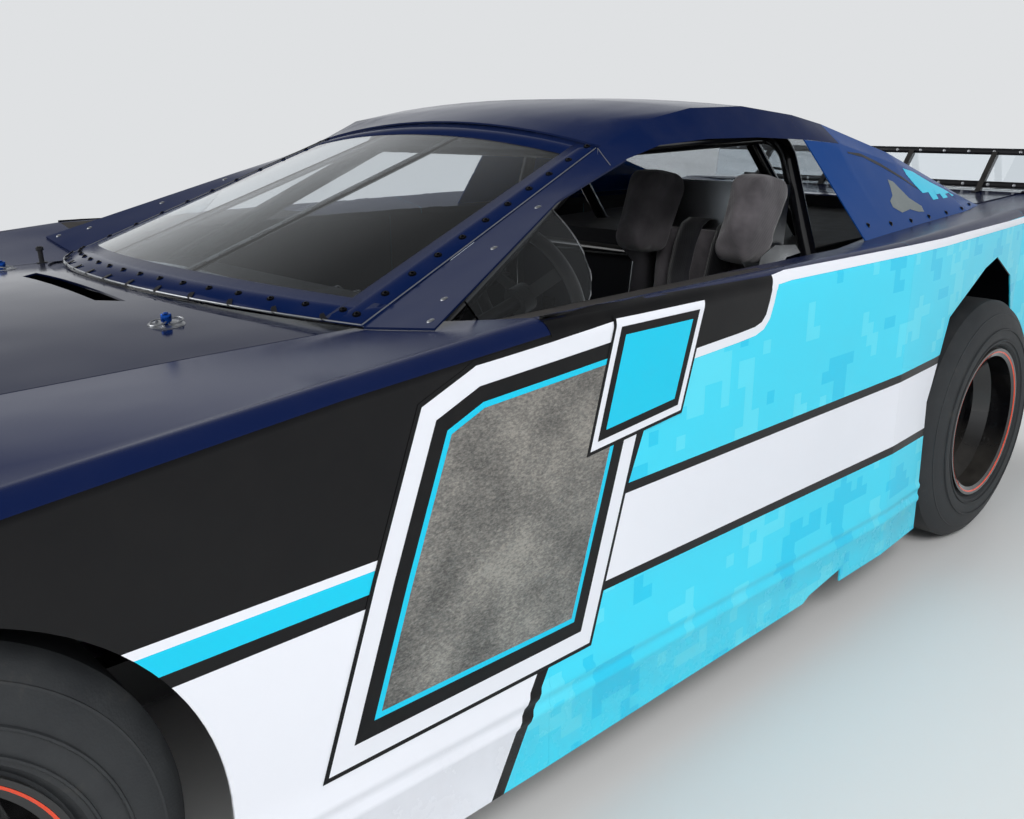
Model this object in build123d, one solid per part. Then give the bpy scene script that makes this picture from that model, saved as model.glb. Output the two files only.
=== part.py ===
from build123d import *
from collections import namedtuple
from math import cos, radians, sin
import os

# A pavement late-model stock car: thin body panels round a tubular chassis.
# All lengths are millimetres. While it is built, the car stands in its axle frame:
# x runs forward from the rear axle, y to the left and z up from the ground.
# At the end every piece moves by MID_X, so that the origin is at the middle of the car's length.

# Overall sizes
WHEELBASE = 2667.0
FRONT_OVERHANG = 1110.0
REAR_OVERHANG = 1200.0
NOSE_X = WHEELBASE + FRONT_OVERHANG
TAIL_X = -REAR_OVERHANG
MID_X = (NOSE_X + TAIL_X) / 2
HALF_WIDTH = 1000.0

# Walls and gaps
PANEL = 4.0
SHEET = 3.0
GLASS = 4.0
SEAM = 0.4
LID_SEAM = 3.0
SEAT_GAP = 0.3
RUNNING_FIT = 0.05

# Wheels and tyres
TYRE_RADIUS = 338.0
RIM_RADIUS = 208.0
RIM_WIDTH = 254.0
RIM_WALL = 5.0
BEAD_DROP = 16.0
WELL_DROP = 42.0
TREAD_WIDTH = 206.0
TYRE_BULGE = 8.0
TYRE_WALL = 9.0
WHEEL_Y = {"front": 844.0, "rear": 866.0}
DISC_OFFSET = -40.0
HUB_RADIUS = 75.0
LUG_COUNT = 5
LUG_CIRCLE = 63.5
LUG_RADIUS = 13.0
VENT_COUNT = 10
VENT_CIRCLE = 142.0
VENT_RADIUS = 9.0
SPINDLE_RADIUS = 32.0
ROTOR_RADIUS = 130.0
ROTOR_WALL = 28.0

# The body's side
SKIRT_BOTTOM = 118.0
SHOULDER_DROP = 28.0
SHOULDER_IN = 45.0
ROLL_IN = 12.0
ROLL_UP = 20.0
SILL_FLANGE = 22.0
RIB_FRONT_Z = 280.0
RIB_REAR_Z = 243.0
RIB_PITCH = 34.0
RIB_COUNT = 2
RIB_HALF = 12.0
RIB_CREST = 4.0
RIB_RISE = 4.0
FENDER_SEAM_Y = 600.0
CREST_Y = 800.0
FENDER_BACK_X = 1740.0
FENDER_FRONT_X = WHEELBASE + 583.0
DOOR_BACK_X = 560.0
QUARTER_BACK_X = -380.0
SHELF_BACK_X = -1070.0
COVER_BOTTOM = 400.0

# Deck lid, its hinge and the spoiler
DECK_HALF = 620.0
DECK_FRONT_X = -690.0
DECK_BACK_X = TAIL_X + 20.0
DECK_LIFT = 4.0
LID_LIP = 24.0
HINGE_AHEAD = 4.0
HINGE_DROP = 5.7
BARREL_RADIUS = 5.0
HINGE_PIN_RADIUS = 3.0
EAR_RADIUS = 3.6
BARREL_HALF = 30.0
HINGE_PLACES = (-480.0, 0.0, 480.0)
SPOILER_X = DECK_BACK_X + 30.0
SPOILER_HALF = 760.0
SPOILER_HEIGHT = 150.0
SPOILER_LEAN = 25.0
SPOILER_FOOT = 45.0
BRACE_WALL = 4.0
BRACE_PLACES = (-480.0, -160.0, 160.0, 480.0)

# One row for each station of the front body: side is the half width at the skirt,
# low and shoulder are the roll's lower and upper ends, crest and seam the fender's top,
# and hood the middle of the hood
Front = namedtuple("Front", "x side low shoulder crest seam hood")
FRONT_STATIONS = [
    Front(FENDER_BACK_X, HALF_WIDTH, 845, 873, 846, 815, 852),
    Front(WHEELBASE - 567, HALF_WIDTH, 818, 842, 828, 812, 848),
    Front(WHEELBASE - 167, HALF_WIDTH, 778, 806, 814, 806, 838),
    Front(WHEELBASE + 233, HALF_WIDTH, 720, 750, 768, 768, 800),
    Front(FENDER_FRONT_X, HALF_WIDTH - 15, 640, 668, 690, 690, 718),
]

# The nose carries the same outline on down to its front edge
NOSE_STATIONS = [
    FRONT_STATIONS[-1],
    Front(NOSE_X - 297, HALF_WIDTH - 25, 572, 600, 628, 632, 655),
    Front(NOSE_X - 137, HALF_WIDTH - 38, 512, 540, 566, 570, 590),
    Front(NOSE_X + 23, HALF_WIDTH - 55, 450, 478, 500, 503, 520),
]

# One row for each level of the nose's face: how far it lies behind the foremost point
Level = namedtuple("Level", "z back")
NOSE_LEVELS = [Level(108, 45), Level(200, 8), Level(335, 0), Level(420, 12), Level(500, 45), Level(740, 165)]
NOSE_CORNER_SAG = 217.0
NOSE_CORNER_IN = 55.0
NOSE_CORNER_RADIUS = 190.0
MOUTH_HALF = 430.0
MOUTH_LOW = 165.0
MOUTH_HIGH = 320.0
MOUTH_SLANT = 45.0
DUCT_INNER_Y = 560.0
DUCT_OUTER_Y = 690.0
DUCT_LOW = 205.0
DUCT_HIGH = 290.0
GRILLE_RIM = 16.0
GRILLE_DEPTH = 10.0
GRILLE_BAR = 6.0
GRILLE_LEVELS = 4
GRILLE_PITCH = 62.0

# One row for each station of the side behind the fender: inner and inner_z are the shelf's inner edge
Side = namedtuple("Side", "x side shoulder inner inner_z")
SIDE_STATIONS = [
    Side(FENDER_BACK_X, HALF_WIDTH, 873, 835, 847),
    Side(DOOR_BACK_X, HALF_WIDTH - 8, 881, 800, 852),
    Side(343, HALF_WIDTH - 25, 885, 745, 850),
    Side(QUARTER_BACK_X, HALF_WIDTH - 113, 888, DECK_HALF, 858),
    Side(SHELF_BACK_X, HALF_WIDTH - 129, 892, DECK_HALF, 884),
]

# Openings in the sides: the front arch is round, the rear one an outline of (x, z) points
FRONT_ARCH_RADIUS = 372.0
REAR_ARCH = [(345, 0), (352, 273), (366, 468), (262, 668), (-17, 760), (-125, 778),
             (-300, 705), (QUARTER_BACK_X, 560), (QUARTER_BACK_X - 200, 0)]
SKIRT_NOTCH = [(966, 100), (903, 130), (766, 150), (766, 100)]

# Tail
TAIL_HALF = HALF_WIDTH - 132
TAIL_RADIUS = 130.0
LEDGE_HALF = 500.0
LEDGE_DEPTH = 35.0

# Greenhouse: the pillar's inner line is the crease beside the windscreen, and its outer line the window's edge
CREASE_X = 1824.0
CREASE_Y = 644.0
PILLAR_EDGE_Y = 832.0
PILLAR_KNEE = (1365, 645, 1003)
Roof = namedtuple("Roof", "x mid crease_y crease_z rail_y rail_z")
ROOF_STATIONS = [
    Roof(1115, 1148, 532, 1098, 604, 1072),
    Roof(1000, 1175, 538, 1146, 600, 1098),
    Roof(820, 1202, 540, 1176, 596, 1108),
    Roof(610, 1206, 540, 1181, 594, 1108),
    Roof(380, 1190, 540, 1160, 596, 1098),
    Roof(230, 1166, 540, 1136, 600, 1086),
]
SCREEN_BULGE = 176.0
SCREEN_LAP = 12.0
SCREEN_CORNER_GAP = 0.8
HOOD_GAP = 34.0
COWL_LAP = 12.0
STRAP_SHARE = 0.13
STRAP_WIDTH = 40.0
STRAP_THICK = 4.0
WING_BACK_X = 1470.0
WING_FRONT_X = 1732.0
WING_TOP_X = 1385.0
WING_TOP_SHARE = 0.9
WING_BOW = 38.0
SLOT_X = 2070.0
SLOT_LENGTH = 40.0
SLOT_HALF = 232.0

# One row for each station of the sail panel: the top edge beside the rear window,
# the side crease under it and the foot on the shelf. glass and crown place the rear window's edge and middle
Sail = namedtuple("Sail", "x top_y top_z side_y side_z foot_y glass crown")
SAIL_FRONT_X = 400.0
SAIL_FRONT_FOOT_Y = 790.0
SAIL_STATIONS = [
    Sail(ROOF_STATIONS[-1].x, ROOF_STATIONS[-1].crease_y, ROOF_STATIONS[-1].crease_z,
         ROOF_STATIONS[-1].rail_y, ROOF_STATIONS[-1].rail_z - SEAT_GAP, 766, 0, 30),
    Sail(-100, DECK_HALF - 43, 1052, DECK_HALF - 13, 1022, DECK_HALF + 104, 0.6, 30),
    Sail(-430, DECK_HALF - 30, 954, DECK_HALF - 8, 938, DECK_HALF + 70, 0.6, 24),
    Sail(DECK_FRONT_X + 20, DECK_HALF - 14, 878, DECK_HALF - 4, 875, DECK_HALF + 14, 0.6, 8),
]

# Frame: box rails, front and rear clips and what hangs on them
RAIL_Y = 600.0
RAIL_WIDTH = 50.0
RAIL_HEIGHT = 100.0
RAIL_BOTTOM = 105.0
FLOOR_Z = RAIL_BOTTOM + RAIL_HEIGHT
FRONT_CLIP_X = 1900.0
CLIP_Y = 345.0
FRONT_LIFT = 20.0
RAIL_FRONT_X = WHEELBASE + 683.0
CROSS_HEIGHT = 45.0
REAR_CLIP_X = 330.0
REAR_RAIL_Y = 430.0
KICK_HEIGHT = 330.0
REAR_LIFT = 220.0
RAIL_REAR_X = -1080.0
BUMPER_TUBE = 38.0
BUMPER_Z = 375.0
REAR_BUMPER_Z = 450.0
TOWER_WALL = 40.0
COIL_BACK = 135.0
COIL_HEAD_Y = 420.0
COIL_HEAD_Z = 640.0
EYE_RADIUS = 15.0
EYE_HALF = 21.5
BRACKET_WALL = 6.0
ARM_PIVOT_X = 100.0
MOUNT_LENGTH = 60.0

# Roll cage
TUBE = 44.5
STAY_TUBE = 38.0
CROSS_TUBE = 34.0
TAB_TUBE = 16.0
HOOP_X = 310.0
HOOP_BEND_Z = 740.0
HALO_Y = 480.0
HALO_Z = 1105.0
HALO_FRONT_X = 1060.0
HALO_IN = 60.0
LEG_X = 1700.0
STAY_FOOT_X = -200.0
STAY_HEAD_IN = 110.0
FRONT_STAY_X = WHEELBASE - 187.0
FRONT_BRACE_X = 2100.0
COIL_CROSS_X = -90.0
DOOR_BAR_FRONT = (LEG_X - 20, RAIL_Y - 4, 390)
DOOR_BAR_BACK_Z = 400.0
DOOR_BRACES = (700.0, 1150.0, 1600.0)
ROOF_TABS = (400.0, 1000.0)

# Cabin
FIREWALL_X = 1800.0
FIREWALL_HALF = FENDER_SEAM_Y - 20
TUNNEL_RADIUS = 132.0
STAY_HOLE = 8.0
DASH_HALF = RAIL_Y - 80
DASH_TOP = 800.0
DASH_FACE_X = 1500.0
BULKHEAD_HALF = RAIL_Y - 40
SHELF_FRONT_Z = 800.0
SHELF_REAR_Z = 826.0
SEAT_Y = 370.0
SEAT_BACK_X = 430.0
SEAT_WIDTH = 400.0
BOLSTER_THICK = 70.0
COVER_THICK = 12.0
BOLSTER_CORNER = 42.0
PAD_EDGE = 10.0

# The seat's outlines as (x, z) points, with x ahead of SEAT_BACK_X
SEAT_BACK = [(40, 260), (520, 330), (519, 334), (44, 265), (-20, 985), (-24, 985)]
SEAT_SIDE = [(40, 261), (520, 331), (510, 440), (180, 430), (130, 760), (190, 812), (120, 985), (-22, 985)]
SEAT_BOLSTER = [(72, 789), (218, 804), (141, 1023), (-24, 1001)]
WHEEL_CENTRE = (1180.0, SEAT_Y, 760.0)
WHEEL_GRIP = 165.0
GRIP_RADIUS = 15.0
WHEEL_HUB_DEPTH = 38.5

# Engine and driveline
ENGINE_BACK_X = FIREWALL_X + 115
ENGINE_LENGTH = 560.0
ENGINE_HALF = 210.0
ENGINE_TOP = 570.0
MOUNT_BEHIND = 465.0
SHAFT_Z = 345.0
SHAFT_DIAMETER = 76.0
AXLE_NOSE_X = 190.0
AXLE_TUBE_Y = 660.0
AXLE_TUBE = 76.0
EXHAUST = 64.0
EXHAUST_END_X = 900.0
CELL_FRONT_X = -480.0
CELL_BACK_X = -960.0
CELL_HALF = 380.0
CELL_BOTTOM = 230.0
CELL_TOP = 520.0

# Suspension and steering
PIVOT_Y = 660.0
STEER_ARM = 130.0
BALL_PIN_RADIUS = 9.0
BALL_DROP = 120.0
BALL_RISE = 130.0
LINK_Y = 520.0
REAR_COIL_Y = 330.0
RACK_X = WHEELBASE + STEER_ARM
RACK_Z = TYRE_RADIUS - 74 - SEAT_GAP
RACK_HALF = 352.0
RACK_RADIUS = 24.0
BAR_RADIUS = 12.0
COLUMN_FOOT = (FIREWALL_X + 40, SEAT_Y, 560.0)
COLUMN_DIAMETER = 32.0
LINK_SHAFT = 22.0
PINION_Y = 280.0


def write(shape, name):
    """Move a finished piece into the car's own frame and write it as one STEP file."""
    export_step(Pos(-MID_X, 0, 0) * shape, f"parts/{name}.step")


def mirrored(shape):
    """The same piece on the other side of the car."""
    return mirror(shape, about=Plane.XZ)


def both(shape):
    """A left piece with its right twin, as separate solids of one node."""
    return Compound([*shape.solids(), *mirrored(shape).solids()])


def across(x, points):
    """A closed outline in the plane that crosses the car at x, from (y, z) points.
    A point with a third entry is the middle of an arc from the point before to the next."""
    edges = []
    start = points[0]
    i = 1
    while i < len(points):
        if len(points[i]) == 3:
            end = points[i + 1]
            edges.append(ThreePointArc(*[(x, p[0], p[1]) for p in (start, points[i], end)]))
            i += 2
        else:
            end = points[i]
            edges.append(Line((x, start[0], start[1]), (x, end[0], end[1])))
            i += 1
        start = end
    edges.append(Line((x, start[0], start[1]), (x, points[0][0], points[0][1])))
    return Face(Wire(edges))


def skin(sections):
    """A solid with straight walls through closed outlines at a row of stations."""
    return Solid(loft(sections, ruled=True).wrapped)


def row_at(table, x):
    """The row at x, worked out between the table's stations."""
    for a, b in zip(table, table[1:]):
        if min(a.x, b.x) <= x <= max(a.x, b.x):
            share = (x - a.x) / (b.x - a.x)
            return type(a)(*[p + share * (q - p) for p, q in zip(a, b)])
    raise ValueError(x)


def rows_from(table, start, end):
    """The rows of a table from start to end, with both ends worked out."""
    low, high = min(start, end), max(start, end)
    inner = [row for row in table if low < row.x < high]
    return [row_at(table, start), *inner, row_at(table, end)]


def along(a, b, share):
    """The point at a share of the way from a to b."""
    return tuple(p + share * (q - p) for p, q in zip(a, b))


def at_x(a, b, x):
    """The point at x on the line from a to b."""
    return along(a, b, (x - a[0]) / (b[0] - a[0]))


def shelf_z(x, y):
    """The height of the sloping shelf inside the left shoulder, at x and y."""
    row = row_at(SIDE_STATIONS, x)
    share = (y - row.inner) / (row.side - SHOULDER_IN - row.inner)
    return row.inner_z + share * (row.shoulder - row.inner_z)


def fender_z(x, y):
    """The height of the left fender's top at x and y, inside its shoulder."""
    row = row_at(FRONT_STATIONS, x)
    if y < CREST_Y:
        return row.seam + (y - FENDER_SEAM_Y) / (CREST_Y - FENDER_SEAM_Y) * (row.crest - row.seam)
    return row.crest + (y - CREST_Y) / (row.side - SHOULDER_IN - CREST_Y) * (row.shoulder - row.crest)


def roof_under(x, y):
    """The height of the roof's lower face at x and y."""
    row = row_at(ROOF_STATIONS, x)
    return row.mid - PANEL - (row.mid - row.crease_z) * (y / (row.crease_y - PANEL)) ** 2


def deck_z(x):
    """The height of the deck lid's upper face at x."""
    return shelf_z(max(x, SHELF_BACK_X), DECK_HALF) + DECK_LIFT


def bar(a, b, diameter):
    """A round bar from a to b."""
    direction = Vector(b) - Vector(a)
    return Solid.make_cylinder(diameter / 2, direction.length, Plane(a, z_dir=direction))


def bent(points, radius, diameter):
    """A bent round tube along straight runs joined by arcs."""
    path = FilletPolyline(*points, radius=radius)
    start = Plane(points[0], z_dir=path % 0)
    return sweep(start * Circle(diameter / 2), path=path)


def box(x, y, z):
    """A box from three (low, high) pairs."""
    middle = [(low + high) / 2 for low, high in (x, y, z)]
    return Pos(*middle) * Box(x[1] - x[0], y[1] - y[0], z[1] - z[0])


def prism(points, low_y, high_y):
    """A block with an outline of (x, z) points, from low_y to high_y."""
    face = Face(Wire.make_polygon([(x, low_y, z) for x, z in points]))
    return Solid.extrude(face, Vector(0, high_y - low_y, 0))


def slab(points, low_x, high_x):
    """A block with an outline of (y, z) points, from low_x to high_x."""
    face = Face(Wire.make_polygon([(low_x, y, z) for y, z in points]))
    return Solid.extrude(face, Vector(high_x - low_x, 0, 0))


def rib(table, start, end):
    """The ribs pressed into the lower side between start and end, which rise slowly to the front."""
    ribs = []
    for i in range(RIB_COUNT):
        sections = []
        for row in rows_from(table, start, end):
            share = (row.x - DOOR_BACK_X) / (WHEELBASE - DOOR_BACK_X)
            z = RIB_REAR_Z + share * (RIB_FRONT_Z - RIB_REAR_Z) - RIB_PITCH * i
            sections.append(across(row.x, [(row.side - PANEL / 2, z - RIB_HALF), (row.side, z - RIB_HALF),
                                           (row.side + RIB_RISE, z - RIB_CREST), (row.side + RIB_RISE, z + RIB_CREST),
                                           (row.side, z + RIB_HALF), (row.side - PANEL / 2, z + RIB_HALF)]))
        ribs.append(skin(sections))
    return ribs


# Front body

def fender_outline(row):
    """One station of the left fender: skirt, rolled shoulder, crest and hood seam."""
    inner_side = row.side - PANEL
    seam_y = FENDER_SEAM_Y + SEAM / 2
    shoulder_y = row.side - SHOULDER_IN
    mid_y = row.side - ROLL_IN
    mid_z = row.low + ROLL_UP - 1
    return across(row.x, [
        (row.side, SKIRT_BOTTOM), (row.side, row.low), (mid_y, mid_z, 0), (shoulder_y, row.shoulder),
        (CREST_Y, row.crest, 0), (seam_y, row.seam),
        (seam_y, row.seam - PANEL), (CREST_Y, row.crest - PANEL, 0), (shoulder_y, row.shoulder - PANEL),
        (mid_y - PANEL, mid_z - PANEL, 0), (inner_side, row.low), (inner_side, SKIRT_BOTTOM)])


def fender():
    """The left front fender with its round wheel opening."""
    shell = skin([fender_outline(row) for row in FRONT_STATIONS])
    shell += rib(FRONT_STATIONS, FENDER_BACK_X, WHEELBASE - FRONT_ARCH_RADIUS / 2)
    opening = Pos(WHEELBASE, HALF_WIDTH - 100, TYRE_RADIUS) * Rot(90, 0, 0) * Cylinder(FRONT_ARCH_RADIUS, 400)
    below = box((WHEELBASE - FRONT_ARCH_RADIUS, WHEELBASE + FRONT_ARCH_RADIUS),
                (HALF_WIDTH - 300, HALF_WIDTH + 100), (0, TYRE_RADIUS))
    return shell - opening - below


def crown(row, top, bottom, half):
    """One station of a strip that follows the hood's crown, from top to bottom below its upper face."""
    return across(row.x, [(half, row.seam - top), (0, row.hood - top, 0), (-half, row.seam - top),
                          (-half, row.seam - bottom), (0, row.hood - bottom, 0), (half, row.seam - bottom)])


def behind_curve(offset):
    """Everything behind the windscreen's foot curve moved forward by offset."""
    x, back, height = CREASE_X + offset, CREASE_X - 600, 2000
    curve = ThreePointArc((x, -CREASE_Y, 0), (x + SCREEN_BULGE, 0, 0), (x, CREASE_Y, 0))
    outline = Wire([curve, Line((x, CREASE_Y, 0), (back, CREASE_Y, 0)),
                    Line((back, CREASE_Y, 0), (back, -CREASE_Y, 0)), Line((back, -CREASE_Y, 0), (x, -CREASE_Y, 0))])
    return Solid.extrude(Face(outline), Vector(0, 0, height))


def hood():
    """The lift-off hood with its air slot, and its rear edge along the windscreen's foot."""
    rows = rows_from(FRONT_STATIONS, FENDER_BACK_X, FENDER_FRONT_X - LID_SEAM)
    shell = skin([crown(row, 0, PANEL, FENDER_SEAM_Y - LID_SEAM) for row in rows])
    half = SLOT_LENGTH / 2
    low = row_at(FRONT_STATIONS, SLOT_X).seam - 100
    slot = Face(Wire.make_polygon([(SLOT_X - half, -SLOT_HALF, low), (SLOT_X - half, SLOT_HALF, low),
                                   (SLOT_X + half, SLOT_HALF - SLOT_LENGTH, low),
                                   (SLOT_X + half, SLOT_LENGTH - SLOT_HALF, low)]))
    return shell - behind_curve(HOOD_GAP) - Solid.extrude(slot, Vector(0, 0, 300))


def nose_outline(row, wall):
    """One station of the nose as a closed block, with its faces moved in by wall."""
    side = row.side - wall
    shoulder = (row.side - SHOULDER_IN - wall, row.shoulder - wall)
    roll = (row.side - ROLL_IN - wall, row.low + ROLL_UP - 1 - wall)
    crest = (CREST_Y, row.crest - wall)
    seam = (FENDER_SEAM_Y, row.seam - wall)
    return across(row.x, [
        (side, 0), (side, row.low), (*roll, 0), shoulder, (*crest, 0), seam, (0, row.hood - wall, 0),
        (-seam[0], seam[1]), (-crest[0], crest[1], 0), (-shoulder[0], shoulder[1]),
        (-roll[0], roll[1], 0), (-side, row.low), (-side, 0)])


def nose_plan(level, wall):
    """The nose's outline seen from above at one level, with its faces moved in by wall."""
    back_x = FENDER_FRONT_X - 100
    tip_x = NOSE_X - level.back - wall
    corner_x = tip_x - NOSE_CORNER_SAG
    side = FRONT_STATIONS[-1].side - wall
    corner_y = HALF_WIDTH - NOSE_CORNER_IN - wall
    outline = Wire([
        Line((back_x, -side, level.z), (FENDER_FRONT_X, -side, level.z)),
        Line((FENDER_FRONT_X, -side, level.z), (corner_x, -corner_y, level.z)),
        ThreePointArc((corner_x, -corner_y, level.z), (tip_x, 0, level.z), (corner_x, corner_y, level.z)),
        Line((corner_x, corner_y, level.z), (FENDER_FRONT_X, side, level.z)),
        Line((FENDER_FRONT_X, side, level.z), (back_x, side, level.z)),
        Line((back_x, side, level.z), (back_x, -side, level.z))])
    face = Face(outline)
    corners = [v for v in face.vertices() if abs(v.X - corner_x) < 1]
    return face.fillet_2d(NOSE_CORNER_RADIUS - wall, corners)


def nose_block(wall):
    """The nose as a closed block, with its faces moved in by wall."""
    top = skin([nose_outline(row, wall) for row in NOSE_STATIONS])
    face = skin([nose_plan(level, wall) for level in NOSE_LEVELS])
    return top & face


def mouth_outline(grow=0.0):
    """The outline of the nose's mouth in (y, z) points, grown all round."""
    low, high = MOUTH_LOW - grow, MOUTH_HIGH + grow
    top, bottom = MOUTH_HALF + grow, MOUTH_HALF - MOUTH_SLANT + grow
    return [(-bottom, low), (bottom, low), (top, high), (-top, high)]


def duct_outline():
    """The outline of the left brake duct's opening in (y, z) points."""
    return [(DUCT_INNER_Y, DUCT_LOW), (DUCT_OUTER_Y, DUCT_LOW + 12), (DUCT_OUTER_Y, DUCT_HIGH - 6),
            (DUCT_INNER_Y, DUCT_HIGH)]


def nose():
    """The moulded nose: a shell that falls from the hood to a rounded face, open at its mouth and ducts."""
    back = FENDER_FRONT_X + SEAM
    ahead = box((back, NOSE_X + 100), (-HALF_WIDTH, HALF_WIDTH), (0, 1000))
    hollow = Pos(0, 0, -PANEL) * box((back - 10, back + 40), (-HALF_WIDTH, HALF_WIDTH), (0, 1))
    shell = (nose_block(0) & ahead) - nose_block(PANEL) - hollow
    duct = slab(duct_outline(), NOSE_X - 250, NOSE_X + 50)
    shell = shell - slab(mouth_outline(), NOSE_X - 250, NOSE_X + 50) - duct - mirrored(duct)
    seat = PANEL + SEAT_GAP
    half = FENDER_SEAM_Y - 10
    end = row_at(NOSE_STATIONS, back + 6)
    flange = skin([crown(row, seat, seat + PANEL, half)
                   for row in (row_at(FRONT_STATIONS, FENDER_FRONT_X - 30), FRONT_STATIONS[-1], end)])
    web = skin([crown(row, PANEL / 2, seat + PANEL, half) for row in (row_at(NOSE_STATIONS, back), end)])
    return shell + flange + web


def grille():
    """A curved frame with level and upright bars, behind the nose's mouth."""
    wall = PANEL + SEAT_GAP
    plate = nose_block(wall) - nose_block(wall + GRILLE_DEPTH)
    reach = (NOSE_X - 250, NOSE_X + 50)
    frame = slab(mouth_outline(GRILLE_RIM), *reach) - slab(mouth_outline(-2), *reach)
    step = (MOUTH_HIGH - MOUTH_LOW) / (GRILLE_LEVELS + 1)
    levels = [MOUTH_LOW + step * (i + 1) for i in range(GRILLE_LEVELS)]
    half = GRILLE_BAR / 2
    bars = [box(reach, (-MOUTH_HALF, MOUTH_HALF), (z - half, z + half)) for z in levels]
    posts = [box(reach, (GRILLE_PITCH * i - half, GRILLE_PITCH * i + half), (MOUTH_LOW - 5, MOUTH_HIGH + 5))
             for i in range(-6, 7)]
    return plate & (frame + bars + posts)


# Sides

def side_outline(row, bottom=SKIRT_BOTTOM):
    """One station of the left side: skirt, rolled shoulder and the shelf that falls inward."""
    low = row.shoulder - SHOULDER_DROP
    shoulder_y = row.side - SHOULDER_IN
    mid_y = row.side - ROLL_IN
    mid_z = low + ROLL_UP
    flange = row.inner_z - SILL_FLANGE
    return across(row.x, [
        (row.side, bottom), (row.side, low), (mid_y, mid_z, 0), (shoulder_y, row.shoulder),
        (row.inner, row.inner_z), (row.inner, flange),
        (row.inner + PANEL, flange), (row.inner + PANEL, row.inner_z - PANEL), (shoulder_y, row.shoulder - PANEL),
        (mid_y - PANEL, mid_z - PANEL, 0), (row.side - PANEL, low), (row.side - PANEL, bottom)])


def door():
    """The left door panel with its rolled sill and a notch in the skirt."""
    ends = (FENDER_BACK_X - SEAM, DOOR_BACK_X)
    shell = skin([side_outline(row) for row in rows_from(SIDE_STATIONS, *ends)]) + rib(SIDE_STATIONS, *ends)
    return shell - prism(SKIRT_NOTCH, HALF_WIDTH - 100, HALF_WIDTH + 100)


def quarter():
    """The left quarter panel with the tall rear wheel opening."""
    front = DOOR_BACK_X - SEAM
    shell = skin([side_outline(row) for row in rows_from(SIDE_STATIONS, front, QUARTER_BACK_X)])
    shell += rib(SIDE_STATIONS, front, 0)
    return shell - prism(REAR_ARCH, HALF_WIDTH - 300, HALF_WIDTH + 100)


def tail_cover():
    """The rear bumper cover: two sides with their shelves, a wall round the tail and the deck lid's ledge."""
    last = SIDE_STATIONS[-1]
    rows = rows_from(SIDE_STATIONS, QUARTER_BACK_X - SEAM, last.x)
    side = skin([side_outline(row, COVER_BOTTOM) for row in rows])
    outer = FilletPolyline((last.x, last.side, 0), (TAIL_X, TAIL_HALF, 0), (TAIL_X, -TAIL_HALF, 0),
                           (last.x, -last.side, 0), radius=TAIL_RADIUS)
    inner = FilletPolyline((last.x, last.side - PANEL, 0), (TAIL_X + PANEL, TAIL_HALF - PANEL, 0),
                           (TAIL_X + PANEL, PANEL - TAIL_HALF, 0), (last.x, PANEL - last.side, 0),
                           radius=TAIL_RADIUS - PANEL)
    ring = Wire([*outer.edges(), Line((last.x, -last.side, 0), (last.x, PANEL - last.side, 0)), *inner.edges(),
                 Line((last.x, last.side, 0), (last.x, last.side - PANEL, 0))])
    top = last.shoulder
    wall = Pos(0, 0, COVER_BOTTOM) * Solid.extrude(Face(ring), Vector(0, 0, top - COVER_BOTTOM))
    plan = Wire([*outer.edges(), Line((last.x, -last.side, 0), (last.x, last.side, 0))])
    shelf = Pos(0, 0, top - PANEL) * Solid.extrude(Face(plan), Vector(0, 0, PANEL))
    well = box((DECK_BACK_X - LID_SEAM, last.x + 10), (-DECK_HALF, DECK_HALF), (top - 50, top + 10))
    ledge_top = deck_z(DECK_BACK_X) - LID_LIP - SEAT_GAP
    ledge = box((TAIL_X + 1, TAIL_X + LEDGE_DEPTH), (-LEDGE_HALF, LEDGE_HALF), (ledge_top - PANEL, ledge_top))
    return side + mirrored(side) + wall + (shelf - well) + ledge


# Greenhouse

def roof_outline(row):
    """One station of the roof: crowned top, crease and the side rail below it."""
    return across(row.x, [
        (row.rail_y, row.rail_z), (row.crease_y, row.crease_z), (0, row.mid, 0), (-row.crease_y, row.crease_z),
        (-row.rail_y, row.rail_z), (PANEL - row.rail_y, row.rail_z),
        (PANEL - row.crease_y, row.crease_z - PANEL), (0, row.mid - PANEL, 0),
        (row.crease_y - PANEL, row.crease_z - PANEL), (row.rail_y - PANEL, row.rail_z)])


def pillar_lines():
    """The upper face's lines of the left windscreen pillar: the crease and the window's edge, from foot to head."""
    front = ROOF_STATIONS[0]
    lift = SEAT_GAP + PANEL
    foot = (CREASE_X, CREASE_Y, fender_z(CREASE_X, CREASE_Y) + lift)
    head = (front.x, front.crease_y, front.crease_z)
    crease = [foot, at_x(foot, head, PILLAR_KNEE[0]), head]
    edge = [(CREASE_X, PILLAR_EDGE_Y, fender_z(CREASE_X, PILLAR_EDGE_Y) + lift), PILLAR_KNEE,
            (front.x, front.rail_y, front.rail_z)]
    return crease, edge


def roof():
    """The roof moulding with both windscreen pillars."""
    top = skin([roof_outline(row) for row in ROOF_STATIONS])
    pillar = skin([across(a[0], [a[1:], b[1:], (b[1], b[2] - PANEL), (a[1], a[2] - PANEL)])
                   for a, b in zip(*pillar_lines())])
    return top + pillar + mirrored(pillar)


def screen_arcs():
    """The windscreen's foot on the cowl and its head under the roof's front edge, as two arcs of its outer face."""
    foot = pillar_lines()[0][0]
    side = CREASE_Y - SEAM
    tip = CREASE_X + SCREEN_BULGE
    cowl_z = row_at(FRONT_STATIONS, tip).hood - PANEL - SEAT_GAP
    low = ThreePointArc((CREASE_X, -side, foot[2]), (tip, 0, cowl_z + SEAT_GAP + GLASS), (CREASE_X, side, foot[2]))
    x = ROOF_STATIONS[0].x - SCREEN_LAP
    row = row_at(ROOF_STATIONS, x)
    y = row.crease_y - 2 * PANEL
    corner_z = roof_under(x, y) - SCREEN_CORNER_GAP
    high = ThreePointArc((x, -y, corner_z), (x, 0, roof_under(x, 0) - SEAT_GAP), (x, y, corner_z))
    return low, high


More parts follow.
